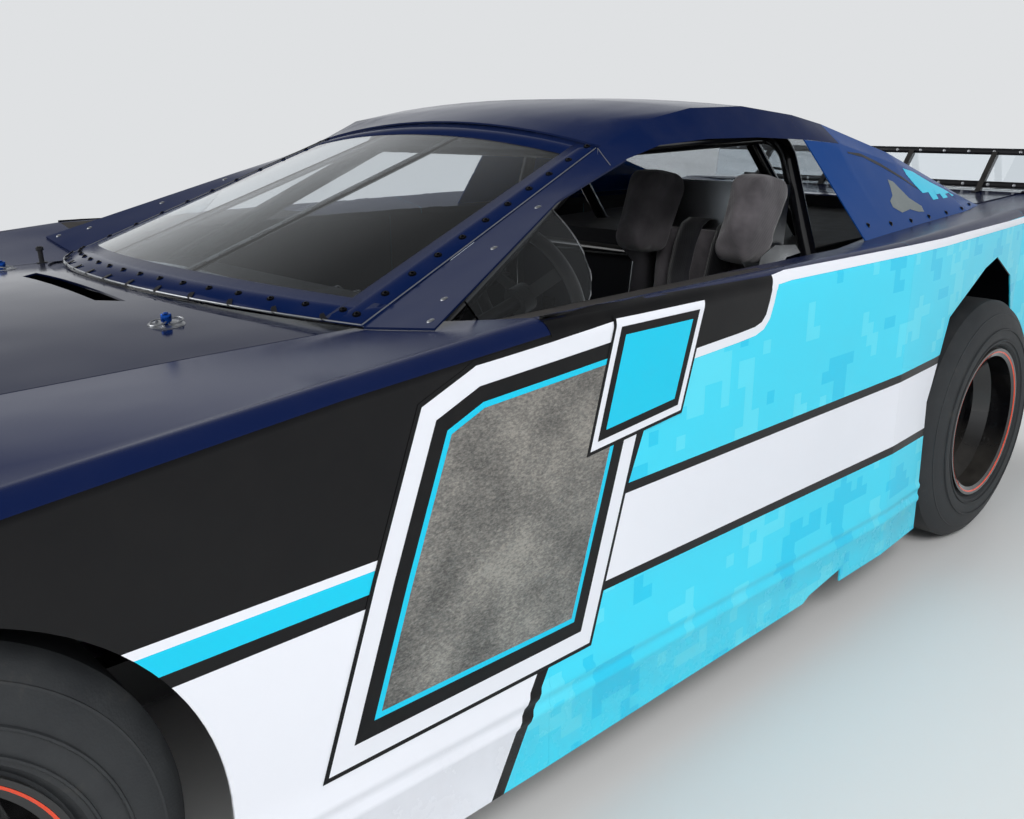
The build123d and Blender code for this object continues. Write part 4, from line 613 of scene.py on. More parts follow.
@dataclass(frozen=True)
class HeatedSteel(BrushedSheet):
    """Exhaust tube coloured by heat.

    The eye sees dull grey at its end, then straw, violet and blue towards the engine.
    """

    blur_mm: float = 125.0

    def pattern(self, coat: Coat) -> None:
        """Works in the lines and the heat's colours.

        Args:
            coat: the material in the making.
        """
        super().pattern(coat)
        tree, coords = coat.tree, coat.coords
        along = add(tree, "SeparateXYZ", {"Vector": coords}).outputs["X"]
        blur = add(tree, "TexNoise", {"Vector": coords, "Scale": per_metre(self.blur_mm)})
        heat = add(tree, "Math", {0: along, 1: blur}, operation="ADD")
        share = add(tree, "MapRange", {"Value": heat, "From Min": 0.2, "From Max": 1.7})
        coat.drive("Base Color", add(tree, "ValToRGB", {"Fac": share}, stops=[
            (0.0, linear("#77706a")), (0.45, linear("#8a7150")), (0.7, linear("#6a5577")),
            (1.0, linear("#59606e"))]))


class Finishes(Enum):
    """Every finish of the car, by what it covers."""

    # black vinyl tinted navy: the navy is a painted reflection of the sky
    BLACK_WRAP = VinylWrap("black_gloss_vinyl_painted_sky_tint", "#0a1330", roughness=0.12, specular=0.42)
    # black paint on the roof and the screen's border, tinted navy: a painted reflection of the sky
    SKY_TINTED_BLACK_WRAP = VinylWrap("black_vinyl_painted_sky_navy", "#0a1a40", roughness=0.14, specular=0.06)
    SAIL_WRAP = VinylWrap("navy_satin_vinyl", "#0f3f80", roughness=0.2, specular=0.04)
    MATT_BLACK_WRAP = VinylWrap("black_vinyl_side", BLACK, roughness=0.3, specular=0.18)
    SIDE_PRINT = SidePrint("printed_side_vinyl", "#43dcf8", roughness=0.26, specular=0.22, dust=0.2475)
    CYAN_WRAP = VinylWrap("cyan_vinyl", CYAN, roughness=0.26, specular=0.22)
    WHITE_WRAP = VinylWrap("white_vinyl", WHITE, roughness=0.28, specular=0.35)
    CHROME_FILM = ChromeFilm("chrome_vinyl", "#b9b7b3", roughness=0.09, metallic=1.0)
    CLEAR = ClearSheet("clear_polycarbonate", "#e6edf2", roughness=0.02, ior=1.45)
    CAGE = CoatedSteel("cage_powder_coat", "#0d0d10", roughness=0.2, coat=0.4)
    CHASSIS = CoatedSteel("chassis_powder_coat", "#1a1a1d", roughness=0.38)
    INNER_SHEET = CoatedSteel("interior_satin_sheet", "#0b0d15", roughness=0.42, specular=0.2)
    BARE_SHEET = BrushedSheet("mill_aluminium", "#c2c4c7", roughness=0.32, metallic=1.0)
    RIM_ENAMEL = CoatedSteel("wheel_enamel", "#0c0c0e", roughness=0.15, coat=0.6)
    RUBBER = SlickRubber("slick_rubber", "#25272a", roughness=0.7)
    CAST = CoatedSteel("machined_casting", "#4b4c4f", roughness=0.45, metallic=0.6)
    KNIT = KnitFabric("seat_knit", "#4a474a", roughness=0.9)
    SUEDE = KnitFabric("suede_grip", "#141416", roughness=0.95, loop_mm=1.5, worn="#34322f")
    SPRING = CoatedSteel("spring_enamel", "#b01f16", roughness=0.28, coat=0.5)
    EXHAUST = HeatedSteel("heated_exhaust", "#77706a", roughness=0.34, metallic=1.0)
    STRIPE_RED = CoatedSteel("rim_stripe_enamel", "#e2431b", roughness=0.25, coat=0.4)
    SCREW = BrushedSheet("black_oxide_screw", "#2a2a2e", roughness=0.3, metallic=1.0)
    RIVET = BrushedSheet("aluminium_rivet", "#c8cacd", roughness=0.28, metallic=1.0)
    BLUE_ANODISED = BrushedSheet("blue_anodised_aluminium", "#1d4fa8", roughness=0.22, metallic=1.0)
    BLACK_PLASTIC = MouldedPlastic("moulded_black_plastic", "#141417", roughness=0.42)
    WEBBING = KnitFabric("harness_webbing", "#141418", roughness=0.8, loop_mm=2.0, worn="#2c2c30")
    GEL_COAT = BrushedSheet("bare_gel_coat", "#7f8686", roughness=0.55, specular=0.3)


@dataclass
class PaintShop:
    """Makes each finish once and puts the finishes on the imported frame's nodes."""

    made: dict = field(default_factory=dict)
    cowl_z: float = 790.0
    sharp_deg: float = 28.0
    weld_mm: float = 0.02
    # a face looks into the car if its normal leans inward by the first number, further than the second from
    # the car's middle in metres, or if it leans down
    end_lean: tuple[float, float] = (0.3, 1.9)
    side_lean: tuple[float, float] = (0.2, 0.5)
    down_lean: float = -0.8

    def finish(self, which: Finishes) -> bpy.types.Material:
        """The material of one finish, made the first time it is asked for."""
        if which not in self.made:
            self.made[which] = which.value.material()
        return self.made[which]

    def dress(self, which: Finishes, nodes: tuple[str, ...]) -> None:
        """Puts one finish on whole nodes of the frame.

        Args:
            which: the finish.
            nodes: the nodes' names.
        """
        for name in nodes:
            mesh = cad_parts[name].data
            mesh.materials.clear()
            mesh.materials.append(self.finish(which))

    def line_inside(self, which: Finishes, nodes: tuple[str, ...]) -> None:
        """Gives the faces of body panels that look into the car another finish.

        Args:
            which: what covers the inside.
            nodes: the panels' names.
        """
        for name in nodes:
            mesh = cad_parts[name].data
            mesh.materials.append(self.finish(which))
            for face in mesh.polygons:
                spot, normal = face.center, face.normal
                inward = [normal[axis] * (-1 if spot[axis] > 0 else 1) > lean and abs(spot[axis]) > beyond
                          for axis, (lean, beyond) in enumerate((self.end_lean, self.side_lean))]
                if any(inward) or normal.z < self.down_lean:
                    face.material_index = 1

    def wrap_cowl(self) -> None:
        """Wraps the cowl, at the top of the firewall, as the hood is."""
        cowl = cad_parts["firewall"].data
        cowl.materials.append(self.finish(Finishes.BLACK_WRAP))
        for face in cowl.polygons:
            if face.center.z > self.cowl_z * MM:
                face.material_index = 1

    def soften(self, nodes: tuple[str, ...]) -> None:
        """Shades each lofted panel as one smooth surface, with its real edges kept sharp.

        Args:
            nodes: the panels' names.
        """
        tree = bpy.data.node_groups.new("soft_shading", "GeometryNodeTree")
        for way in ("INPUT", "OUTPUT"):
            tree.interface.new_socket("Geometry", in_out=way, socket_type="NodeSocketGeometry")
        mesh = add(tree, "GroupInput", family="Node")
        mesh = add(tree, "RemoveAttribute", {"Geometry": mesh, "Name": "custom_normal"},
                   family="GeometryNode")
        mesh = add(tree, "MergeByDistance", {"Geometry": mesh, "Distance": self.weld_mm * MM},
                   family="GeometryNode")
        smooth = add(tree, "SetShadeSmooth", {"Geometry": mesh, "Shade Smooth": True}, family="GeometryNode")
        bend = add(tree, "InputMeshEdgeAngle", family="GeometryNode")
        sharp = add(tree, "Compare", {0: bend, 1: math.radians(self.sharp_deg)}, family="FunctionNode",
                    operation="GREATER_THAN")
        edges = add(tree, "SetShadeSmooth", {"Geometry": smooth, "Selection": sharp, "Shade Smooth": False},
                    family="GeometryNode", domain="EDGE")
        add(tree, "GroupOutput", {0: edges}, family="Node")
        for name in nodes:
            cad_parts[name].modifiers.new("soft_shading", "NODES").node_group = tree

    def dress_frame(self) -> None:
        """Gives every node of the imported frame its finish."""
        tyres = tuple(f"tyre_{wheel}" for wheel in WHEELS)
        covers = {
            Finishes.BLACK_WRAP: ("hood", "deck_lid"),
            Finishes.SKY_TINTED_BLACK_WRAP: ("roof",),
            Finishes.SAIL_WRAP: ("sail_left", "sail_right"),
            Finishes.SIDE_PRINT: ("nose", "tail_cover", *SIDE_PANELS),
            Finishes.CLEAR: ("windscreen", "rear_window", "wing_windows", "spoiler"),
            Finishes.CAGE: ("roll_cage", "grille", "spoiler_braces"),
            Finishes.CHASSIS: ("frame_rails", "suspension_arms", "rear_axle", "steering_gear", "tie_rods"),
            Finishes.INNER_SHEET: ("floor_pan", "firewall", "dash_panel", "rear_bulkhead", "fuel_cell"),
            Finishes.BARE_SHEET: ("seat_shell", "radiator", "windscreen_straps"),
            Finishes.RIM_ENAMEL: tuple(f"rim_{wheel}" for wheel in WHEELS),
            Finishes.RUBBER: tyres,
            Finishes.CAST: ("engine_block", "drive_shaft", "knuckle_left", "knuckle_right"),
            Finishes.KNIT: ("seat_pads",),
            Finishes.SUEDE: ("steering_wheel",),
            Finishes.SPRING: ("coil_overs",),
            Finishes.EXHAUST: ("exhaust",),
        }
        for which, nodes in covers.items():
            self.dress(which, nodes)
        self.line_inside(Finishes.INNER_SHEET, ("nose", "tail_cover", "hood", "roof", *SIDE_PANELS))
        self.wrap_cowl()
        self.soften(("nose", "hood", "roof", "tail_cover", "sail_left", "sail_right", "windscreen",
                     "rear_window", *SIDE_PANELS, *tyres))
        LOG.info("finishes on %d nodes", len(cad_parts))


PAINT = PaintShop()


# Shapes


class Ends(Enum):
    """How a turned form closes: by flat caps, not at all, or with its last ring joined to its first."""

    CAPPED = "capped"
    OPEN = "open"
    LOOPED = "looped"


@dataclass
class Shape:
    """A mesh in the making: its points in metres and its faces."""

    points: list = field(default_factory=list)
    faces: list = field(default_factory=list)

    def join(self, other: "Shape", matrix: Matrix | None = None) -> "Shape":
        """Adds another shape, moved by a matrix.

        Args:
            other: the shape to add.
            matrix: where it goes, or None to leave it in place.

        Returns:
            This shape.
        """
        start = len(self.points)
        self.points += [matrix @ p if matrix else p.copy() for p in other.points]
        self.faces += [tuple(start + i for i in face) for face in other.faces]
        return self

    def moved(self, matrix: Matrix) -> "Shape":
        """A copy of this shape, moved by a matrix."""
        return Shape().join(self, matrix)

    @classmethod
    def grid(cls, rows: list[list[Vector]], closed: bool = False) -> "Shape":
        """A sheet through rows of points.

        Args:
            rows: rows of equally many points.
            closed: whether each row joins back to its start.

        Returns:
            The sheet.
        """
        wide = len(rows[0])
        faces = []
        for r in range(len(rows) - 1):
            for c in range(wide if closed else wide - 1):
                d = (c + 1) % wide
                faces.append((r * wide + c, r * wide + d, (r + 1) * wide + d, (r + 1) * wide + c))
        return cls([p.copy() for row in rows for p in row], faces)

    @classmethod
    def lathe(cls, profile: Outline, segments: int = 24, ends: Ends = Ends.CAPPED) -> "Shape":
        """A turned form about z.

        Args:
            profile: (radius, height) pairs in millimetres.
            segments: how many flats go round it.
            ends: how it closes.

        Returns:
            The form.
        """
        turns = [math.tau * i / segments for i in range(segments)]
        shape = cls.grid([[Vector((radius * math.cos(a), radius * math.sin(a), height)) * MM for a in turns]
                          for radius, height in profile], closed=True)
        last = (len(profile) - 1) * segments
        ring = range(segments)
        if ends is Ends.CAPPED:
            shape.faces += [tuple(reversed(ring)), tuple(last + i for i in ring)]
        elif ends is Ends.LOOPED:
            shape.faces += [(last + i, last + (i + 1) % segments, (i + 1) % segments, i) for i in ring]
        return shape

    @classmethod
    def tube(cls, path: list[Vector], radius_mm: float, sides: int = 12) -> "Shape":
        """A round tube along a path of points in metres.

        Args:
            path: the points of its centre line.
            radius_mm: its radius.
            sides: how many flats go round it.

        Returns:
            The tube with closed ends.
        """
        rows = []
        across = None
        turns = [math.tau * k / sides for k in range(sides)]
        for i, point in enumerate(path):
            ahead = (path[min(i + 1, len(path) - 1)] - path[max(i - 1, 0)]).normalized()
            across = across or ahead.orthogonal()
            across = (across - ahead * across.dot(ahead)).normalized()
            other = ahead.cross(across)
            rows.append([point + (across * math.cos(a) + other * math.sin(a)) * radius_mm * MM
                         for a in turns])
        shape = cls.grid(rows, closed=True)
        last = (len(rows) - 1) * sides
        shape.faces += [tuple(range(sides))[::-1], tuple(last + k for k in range(sides))]
        return shape

    @classmethod
    def plate(cls, outline: Outline, thick: float) -> "Shape":
        """A flat plate that stands on z = 0.

        Args:
            outline: its corners as (x, y) in millimetres.
            thick: its thickness in millimetres.

        Returns:
            The plate.
        """
        n = len(outline)
        points = [Vector((x * MM, y * MM, z * MM)) for z in (0.0, thick) for x, y in outline]
        faces = [tuple(range(n))[::-1], tuple(n + i for i in range(n))]
        faces += [(i, (i + 1) % n, n + (i + 1) % n, n + i) for i in range(n)]
        return cls(points, faces)

    @classmethod
    def cut_sheet(cls, outline: Outline, xs: list[float], zs: list[float]) -> "Shape":
        """A flat sheet in the side's plane, cut so that it can bend.

        Args:
            outline: its corners as (x, z).
            xs: where it is cut upright.
            zs: where it is cut level.

        Returns:
            The sheet, with its points in millimetres.
        """
        work = bmesh.new()
        work.faces.new([work.verts.new((x, 0.0, z)) for x, z in outline])
        bmesh.ops.triangulate(work, faces=work.faces[:])
        cuts = [((x, 0, 0), (1, 0, 0)) for x in xs] + [((0, 0, z), (0, 0, 1)) for z in zs]
        for point, normal in cuts:
            bmesh.ops.bisect_plane(work, geom=work.verts[:] + work.edges[:] + work.faces[:],
                                   plane_co=point, plane_no=normal)
        work.verts.index_update()
        sheet = cls([v.co.copy() for v in work.verts], [tuple(v.index for v in f.verts) for f in work.faces])
        work.free()
        return sheet

    def build(self, name: str, finish: Finishes, slot: str, body: str = "root", bevel_mm: float = 0.0,
              thick_mm: float = 0.0, smooth_deg: float = 35.0) -> bpy.types.Object:
        """Makes the object, dresses it and sets it on its body.

        Args:
            name: the piece's name.
            finish: what covers it.
            slot: the record's material slot; not used.
            body: the body that it rides on.
            bevel_mm: how far its edges are broken, or 0.
            thick_mm: the thickness given to an open sheet, or 0.
            smooth_deg: the angle up to which faces shade as one.

        Returns:
            The object.
        """
        mesh = bpy.data.meshes.new(name)
        mesh.from_pydata([tuple(p) for p in self.points], [], self.faces)
        work = bmesh.new()
        work.from_mesh(mesh)
        bmesh.ops.recalc_face_normals(work, faces=work.faces)
        work.to_mesh(mesh)
        work.free()
        made = bpy.data.objects.new(name, mesh)
        bpy.context.scene.collection.objects.link(made)
        mesh.materials.append(PAINT.finish(finish))
        mesh.shade_smooth()
        mesh.set_sharp_from_angle(angle=math.radians(smooth_deg))
        if thick_mm:
            layer = made.modifiers.new("thickness", "SOLIDIFY")
            layer.thickness = thick_mm * MM
            layer.offset = -1.0
        if bevel_mm:
            edge = made.modifiers.new("edge", "BEVEL")
            edge.width = bevel_mm * MM
            edge.segments = 2
            edge.limit_method = "ANGLE"
            edge.harden_normals = True
        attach(made, body)
        LOG.info("piece %s: %d faces on %s", name, len(self.faces), body)
        return made


def facing(point: Vector, normal: Vector, spin: float = 0.0) -> Matrix:
    """A place with its z axis along a normal.

    Args:
        point: the origin.
        normal: the z axis.
        spin: a turn about it, in radians.

    Returns:
        The matrix.
    """
    turned = normal.to_track_quat("Z", "Y").to_matrix().to_4x4()
    return Matrix.Translation(point) @ turned @ Matrix.Rotation(spin, 4, "Z")


@dataclass
class Skin:
    """The outer faces of some nodes, on which pieces are laid."""

    nodes: tuple[str, ...]
    tree: BVHTree = field(init=False)
    # where rays start beside and above the car, and about where its skin is there, in millimetres
    side_start: float = 1500.0
    side_skin: float = 1000.0
    top_start: float = 2000.0
    shoulder_z: float = 870.0
    # a ray that falls through a seam is tried again a little to the side, in millimetres
    shifts: tuple = ((0, 0, 0), (2, 0, 0), (-2, 0, 0), (0, 0, 2), (0, 0, -2), (4, 0, 0), (-4, 0, 0),
                     (0, 0, -5))

    def __post_init__(self) -> None:
        """Gathers the nodes' faces."""
        whole = Shape()
        for name in self.nodes:
            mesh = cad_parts[name].data
            whole.join(Shape([v.co for v in mesh.vertices], [tuple(p.vertices) for p in mesh.polygons]))
        self.tree = BVHTree.FromPolygons(whole.points, whole.faces)

    def hit(self, start: Vector, ahead: Vector) -> tuple[Vector, Vector] | None:
        """Where a ray first meets the skin.

        Args:
            start: the ray's start.
            ahead: its direction.

        Returns:
            The point and the face's outward normal, or None.
        """
        for shift in self.shifts:
            point, normal, _, _ = self.tree.ray_cast(start + Vector(shift) * MM, ahead)
            if point:
                return point - Vector(shift) * MM, (normal if normal.dot(ahead) < 0 else -normal)
        return None

    def beside(self, x: float, z: float, side: int) -> tuple[Vector, Vector]:
        """The skin's point at a length and a height, seen from one side.

        Args:
            x: millimetres forward of the rear axle.
            z: millimetres above the ground.
            side: left (1) or right (-1).

        Returns:
            The point and the outward normal.
        """
        found = self.hit(place(x, side * self.side_start, z), Vector((0, -side, 0)))
        if found:
            return found
        near, normal, _, _ = self.tree.find_nearest(place(x, side * self.side_skin, z))
        spot = place(x, 0, z)
        return Vector((spot.x, near.y, spot.z)), normal

    def above(self, x: float, y: float) -> tuple[Vector, Vector]:
        """The skin's point seen from above, or the nearest one to the shoulder's height there.

        Args:
            x: millimetres forward of the rear axle.
            y: millimetres to the left.

        Returns:
            The point and the upward normal.
        """
        found = self.hit(place(x, y, self.top_start), Vector((0, 0, -1)))
        if found:
            return found
        near, normal, _, _ = self.tree.find_nearest(place(x, y, self.shoulder_z))
        return near, (normal if normal.z > 0 else -normal)

    def laid(self, sheet: Shape, side: int, lift_mm: float) -> Shape:
        """A flat sheet laid on one side of the car.

        Args:
            sheet: the sheet, in millimetres.
            side: left (1) or right (-1).
            lift_mm: how far off the skin it lies.

        Returns:
            The bent sheet.
        """
        shape = Shape(faces=list(sheet.faces))
        for flat in sheet.points:
            point, normal = self.beside(flat.x, flat.z, side)
            shape.points.append(point + normal * lift_mm * MM)
        return shape


# Studio


@dataclass
class Studio:
    """Camera at the photograph's angle, soft lamps and a pale floor."""

    eye: tuple[float, float, float] = (2738.8, 1970.6, 1159.75)
    yaw: float = 0.8136
    pitch: float = 0.2923
    roll: float = -0.0033
    lens: float = 34.30
    sensor: float = 36.0
    floor_half: float = 40.0
    # the floor melts into the room between these distances, in metres
    floor_fade: tuple[float, float] = (3.2, 9.0)
    room: str = "#dfe1e3"
    ceiling_shade: float = 0.82
    sky_strength: float = 0.5
    aim: tuple[float, float, float] = (0.0, 0.0, 0.4)
    # each lamp's name, its place and the side of its square in metres, its watts, and whether gloss shows it
    lamps: tuple = (("key", (3.6, 5.2, 5.4), 3.0, 380.0, False), ("fill", (5.5, -4.5, 4.0), 4.0, 110.0, True),
                    ("back", (-6.0, -1.0, 5.0), 3.0, 170.0, False))

    def camera(self) -> None:
        """Sets the camera as solved from the wheels in the photograph."""
        level_part = math.cos(self.pitch)
        ahead = Vector((-math.cos(self.yaw) * level_part, -math.sin(self.yaw) * level_part,
                        -math.sin(self.pitch)))
        right = ahead.cross(Vector((0, 0, 1))).normalized()
        up = right.cross(ahead)
        turned_right = right * math.cos(self.roll) + up * math.sin(self.roll)
        turned_up = up * math.cos(self.roll) - right * math.sin(self.roll)
        data = bpy.data.cameras.new("camera")
        data.lens = self.lens
        data.sensor_width = self.sensor
        data.clip_start, data.clip_end = 0.05, 200.0
        made = bpy.data.objects.new("camera", data)
        bpy.context.scene.collection.objects.link(made)
        axes = Matrix((turned_right, turned_up, -ahead)).transposed().to_4x4()
        made.matrix_world = Matrix.Translation(place(*self.eye)) @ axes
        bpy.context.scene.camera = made

    def lamp(self, name: str, spot: tuple[float, float, float], size: float, power: float,
             mirrored: bool) -> None:
        """Hangs one soft square lamp.

        Args:
            name: its name.
            spot: where it hangs, in metres.
            size: the side of its square.
            power: its watts.
            mirrored: whether gloss shows it.
        """
        data = bpy.data.lights.new(name, "AREA")
        data.size = size
        data.energy = power
        made = bpy.data.objects.new(name, data)
        bpy.context.scene.collection.objects.link(made)
        made.location = spot
        made.rotation_mode = "QUATERNION"
        made.rotation_quaternion = (Vector(self.aim) - Vector(spot)).to_track_quat("-Z", "Y")
        made.visible_glossy = mirrored
        made.visible_transmission = False

    @staticmethod
    def looks(tree: Tree, *kinds: str) -> Socket:
        """Whether what looks is a ray of one of some kinds.

        Args:
            tree: the node tree.
            kinds: the light path's outputs.

        Returns:
            One for such a ray and zero for the others.
        """
        path = add(tree, "LightPath")
        seen = path.outputs[kinds[0]]
        for kind in kinds[1:]:
            seen = output(add(tree, "Math", {0: seen, 1: path.outputs[kind]}, operation="MAXIMUM"))
        return seen

    def floor(self) -> None:
        """Lays a plain pale floor that is not part of the car."""
        half = self.floor_half
        mesh = bpy.data.meshes.new("floor")
        corners = [(x * half, y * half, 0) for x, y in ((-1, -1), (1, -1), (1, 1), (-1, 1))]
        mesh.from_pydata(corners, [], [(0, 1, 2, 3)])
        made = bpy.data.objects.new("floor", mesh)
        bpy.context.scene.collection.objects.link(made)
        paint = bpy.data.materials.new("pale_floor")
        paint.use_nodes = True
        tree = paint.node_tree
        tree.nodes.clear()
        matt = add(tree, "BsdfPrincipled", {"Base Color": linear("#dededd"), "Roughness": 0.85})
        away = add(tree, "VectorMath", {0: add(tree, "TexCoord").outputs["Object"]}, operation="LENGTH")
        near, far = self.floor_fade
        share = add(tree, "MapRange", {"Value": away.outputs["Value"], "From Min": near, "From Max": far},
                    interpolation_type="SMOOTHSTEP")
        seen = self.looks(tree, "Is Camera Ray", "Is Glossy Ray", "Is Transmission Ray")
        share = add(tree, "Math", {0: share, 1: seen}, operation="MULTIPLY")
        room = add(tree, "Emission", {"Color": linear(self.room), "Strength": 1.0})
        add(tree, "OutputMaterial", {"Surface": add(tree, "MixShader", {0: share, 1: matt, 2: room})})
        mesh.materials.append(paint)

    def world(self) -> None:
        """Sets a pale surrounding that camera, gloss and glass see, and a soft even sky for the rest."""
        made = bpy.data.worlds.new("pale_room")
        bpy.context.scene.world = made
        made.use_nodes = True
        tree = made.node_tree
        tree.nodes.clear()
        # gloss and glass see a room that darkens towards its ceiling, so that dark paint stays dark
        height = add(tree, "SeparateXYZ", {"Vector": add(tree, "TexCoord").outputs["Generated"]}).outputs["Z"]
        ceiling = add(tree, "MapRange", {"Value": height, "From Min": 0.08, "From Max": 0.7,
                                         "To Min": 0.0, "To Max": self.ceiling_shade})
        mirrored = self.looks(tree, "Is Glossy Ray", "Is Transmission Ray")
        shade = add(tree, "Math", {0: ceiling, 1: mirrored}, operation="MULTIPLY")
        bright = add(tree, "Math", {0: 1.0, 1: shade}, operation="SUBTRACT")
        shown = add(tree, "Background", {"Color": linear(self.room), "Strength": bright})
        sky = add(tree, "Background", {"Color": linear("#eef2f6"), "Strength": self.sky_strength})
        seen = self.looks(tree, "Is Camera Ray", "Is Glossy Ray", "Is Transmission Ray")
        add(tree, "OutputWorld", {"Surface": add(tree, "MixShader", {0: seen, 1: sky, 2: shown})})

    def build(self) -> None:
        """Sets up the whole studio."""
        self.camera()
        self.floor()
        self.world()
        for lamp in self.lamps:
            self.lamp(*lamp)
        bpy.context.scene.view_settings.view_transform = "Standard"
        LOG.info("studio ready")


# Livery


def offset_outline(outline: Outline, inset: float) -> Outline:
    """An outline of straight edges moved inward, with its corners kept sharp.

    Args:
        outline: the corners in order.
        inset: how far inward, or outward if negative.

    Returns:
        The moved corners.
    """
    area = sum(a[0] * b[1] - b[0] * a[1] for a, b in zip(outline, outline[1:] + outline[:1]))
    turn = 1 if area > 0 else -1
    moved = []
    n = len(outline)
    for i in range(n):
        before, here, after = (Vector(outline[(i + k) % n]) for k in (-1, 0, 1))
        one, two = (here - before).normalized(), (after - here).normalized()
        left_one, left_two = (Vector((-way.y, way.x)) * turn for way in (one, two))
        lean = (left_one + left_two).normalized()
        moved.append(tuple(here + lean * (inset / max(0.35, lean.dot(left_one)))))
    return moved


def ribbon(path: Outline, width: float) -> Outline:
    """The outline of a stripe of one width along a path.

    Args:
        path: the points of its centre line.
        width: its width.

    Returns:
        The corners in order.
    """
    upper, lower = [], []
    for i, point in enumerate(path):
        ahead = (Vector(path[min(i + 1, len(path) - 1)]) - Vector(path[max(i - 1, 0)])).normalized()
        across = Vector((-ahead.y, ahead.x)) * width / 2
        upper.append(tuple(Vector(point) + across))
        lower.append(tuple(Vector(point) - across))
    return upper + lower[::-1]


def steps(values: list[float], step: float) -> list[float]:
    """Places from the least of some values towards the greatest, one step apart and without the first."""
    return [min(values) + step * i for i in range(1, int((max(values) - min(values)) / step) + 1)]


@dataclass
class Livery:
    """The cut vinyl laid over the print: belt line, dark door top, blank plate and tag, on both sides."""

    layer_mm: float = 0.3
    # the side below is straight within a cell, but for its seams and for the roll at its shoulder
    cell: float = 60.0
    seams: tuple[float, ...] = (2500.0, 2100.0, 1740.2, 1739.4, 560.2, 559.4, 343.0, -380.0)
    roll: tuple[float, ...] = tuple(816.0 + 3.0 * i for i in range(20))
    door_top: tuple = ((1739.3, 560), (1739.3, 878), (1132, 872), (1143, 850), (1160, 800), (1180, 783),
                       (1250, 774), (1470, 772), (1560, 560))
    belt: tuple = ((1480, 771), (1400, 766), (1250, 774), (1200, 778), (1176, 785), (1160, 800),
                   (1150, 825), (1143, 850), (1130, 864), (1080, 867), (860, 867), (560, 867),
                   (200, 865), (-200, 861), (-400, 860))
    belt_width: float = 17.0
    # the blank plate where the car carries its start number, and the tag beside it, with each layer's inset
    plate: tuple = ((1890, 834), (1475, 862), (1645, 312), (2160, 316), (2070, 570), (1985, 795))
    plate_layers: tuple = ((-7.0, Finishes.MATT_BLACK_WRAP), (0.0, Finishes.WHITE_WRAP),
                           (30.0, Finishes.MATT_BLACK_WRAP), (54.0, Finishes.CYAN_WRAP),
                           (63.0, Finishes.CHROME_FILM))
    tag: tuple = ((1600, 862), (1356, 862), (1418, 668), (1662, 646))
    tag_layers: tuple = ((0.0, Finishes.MATT_BLACK_WRAP), (6.0, Finishes.WHITE_WRAP),
                         (18.0, Finishes.MATT_BLACK_WRAP), (32.0, Finishes.CYAN_WRAP))

    def build(self) -> None:
        """Lays the whole livery, each sheet one layer above the last."""
        skins = {name: Skin(tuple(panel for panel in SIDE_PANELS if panel.endswith(name))) for name in SIDES}
        sheets = [("door_top_dark", list(self.door_top), Finishes.MATT_BLACK_WRAP),
                  ("belt_line", ribbon(list(self.belt), self.belt_width), Finishes.WHITE_WRAP)]
        signs = {"plate": (self.plate, self.plate_layers), "tag": (self.tag, self.tag_layers)}
        for label, (outline, layers) in signs.items():
            sheets += [(f"{label}_layer_{number}", offset_outline(list(outline), inset), finish)
                       for number, (inset, finish) in enumerate(layers)]
        for layer, (label, outline, finish) in enumerate(sheets, 1):
            xs, zs = ([corner[k] for corner in outline] for k in (0, 1))
            rolls = [z for z in self.roll if min(zs) < z < max(zs)]
            sheet = Shape.cut_sheet(outline, [*self.seams, *steps(xs, self.cell)],
                                    [*steps(zs, self.cell), *rolls])
            for name, side in SIDES.items():
                laid = skins[name].laid(sheet, side, self.layer_mm * layer)
                laid.build(f"{label}_{name}", finish, "panel_cyan", smooth_deg=60)


# Fasteners


@dataclass
class Fasteners:
    """Screws and rivets, gathered so that each group makes one piece."""

    groups: dict = field(default_factory=dict)
    kinds: tuple = (
        ("screen_screws", Finishes.SCREW, "black_steel", "root"),
        ("hood_screws", Finishes.RIVET, "bare_aluminium", "hood"),
        ("body_screws", Finishes.SCREW, "black_steel", "root"),
        ("pillar_rivets", Finishes.RIVET, "bare_aluminium", "root"),
        ("spoiler_rivets", Finishes.RIVET, "bare_aluminium", "deck_lid"),
    )

    def put(self, group: str, head: Shape, point: Vector, normal: Vector) -> None:
        """Adds one fastener.

        Args:
            group: the piece that it joins.
            head: its head, on z = 0.
            point: where it sits.
            normal: which way its head faces.
        """
        self.groups.setdefault(group, Shape()).join(head, facing(point, normal))

    def screw(self, group: str, point: Vector, normal: Vector, radius: float) -> None:
        """Adds a button-head screw with its washer and socket, with its head's radius in millimetres."""
        self.put(group, Shape.lathe([
            (radius * 1.5, 0.0), (radius * 1.5, 1.0), (radius, 1.2), (radius * 0.95, 2.4),
            (radius * 0.7, 3.6), (radius * 0.42, 4.0), (radius * 0.4, 1.8), (0.01, 1.8)], 14), point, normal)

    def rivet(self, group: str, point: Vector, normal: Vector, radius: float) -> None:
        """Adds a domed rivet with the dimple of its pulled stem, with its head's radius in millimetres."""
        self.put(group, Shape.lathe([
            (radius, 0.0), (radius * 0.95, 0.7), (radius * 0.7, 1.5), (radius * 0.35, 1.8),
            (radius * 0.28, 1.3), (0.01, 1.3)], 12), point, normal)

    def build(self) -> None:
        """Makes one piece of each group."""
        kinds = {kind[0]: kind for kind in self.kinds}
        for group, shape in self.groups.items():
            shape.build(*kinds[group], smooth_deg=50)


# Glass trim


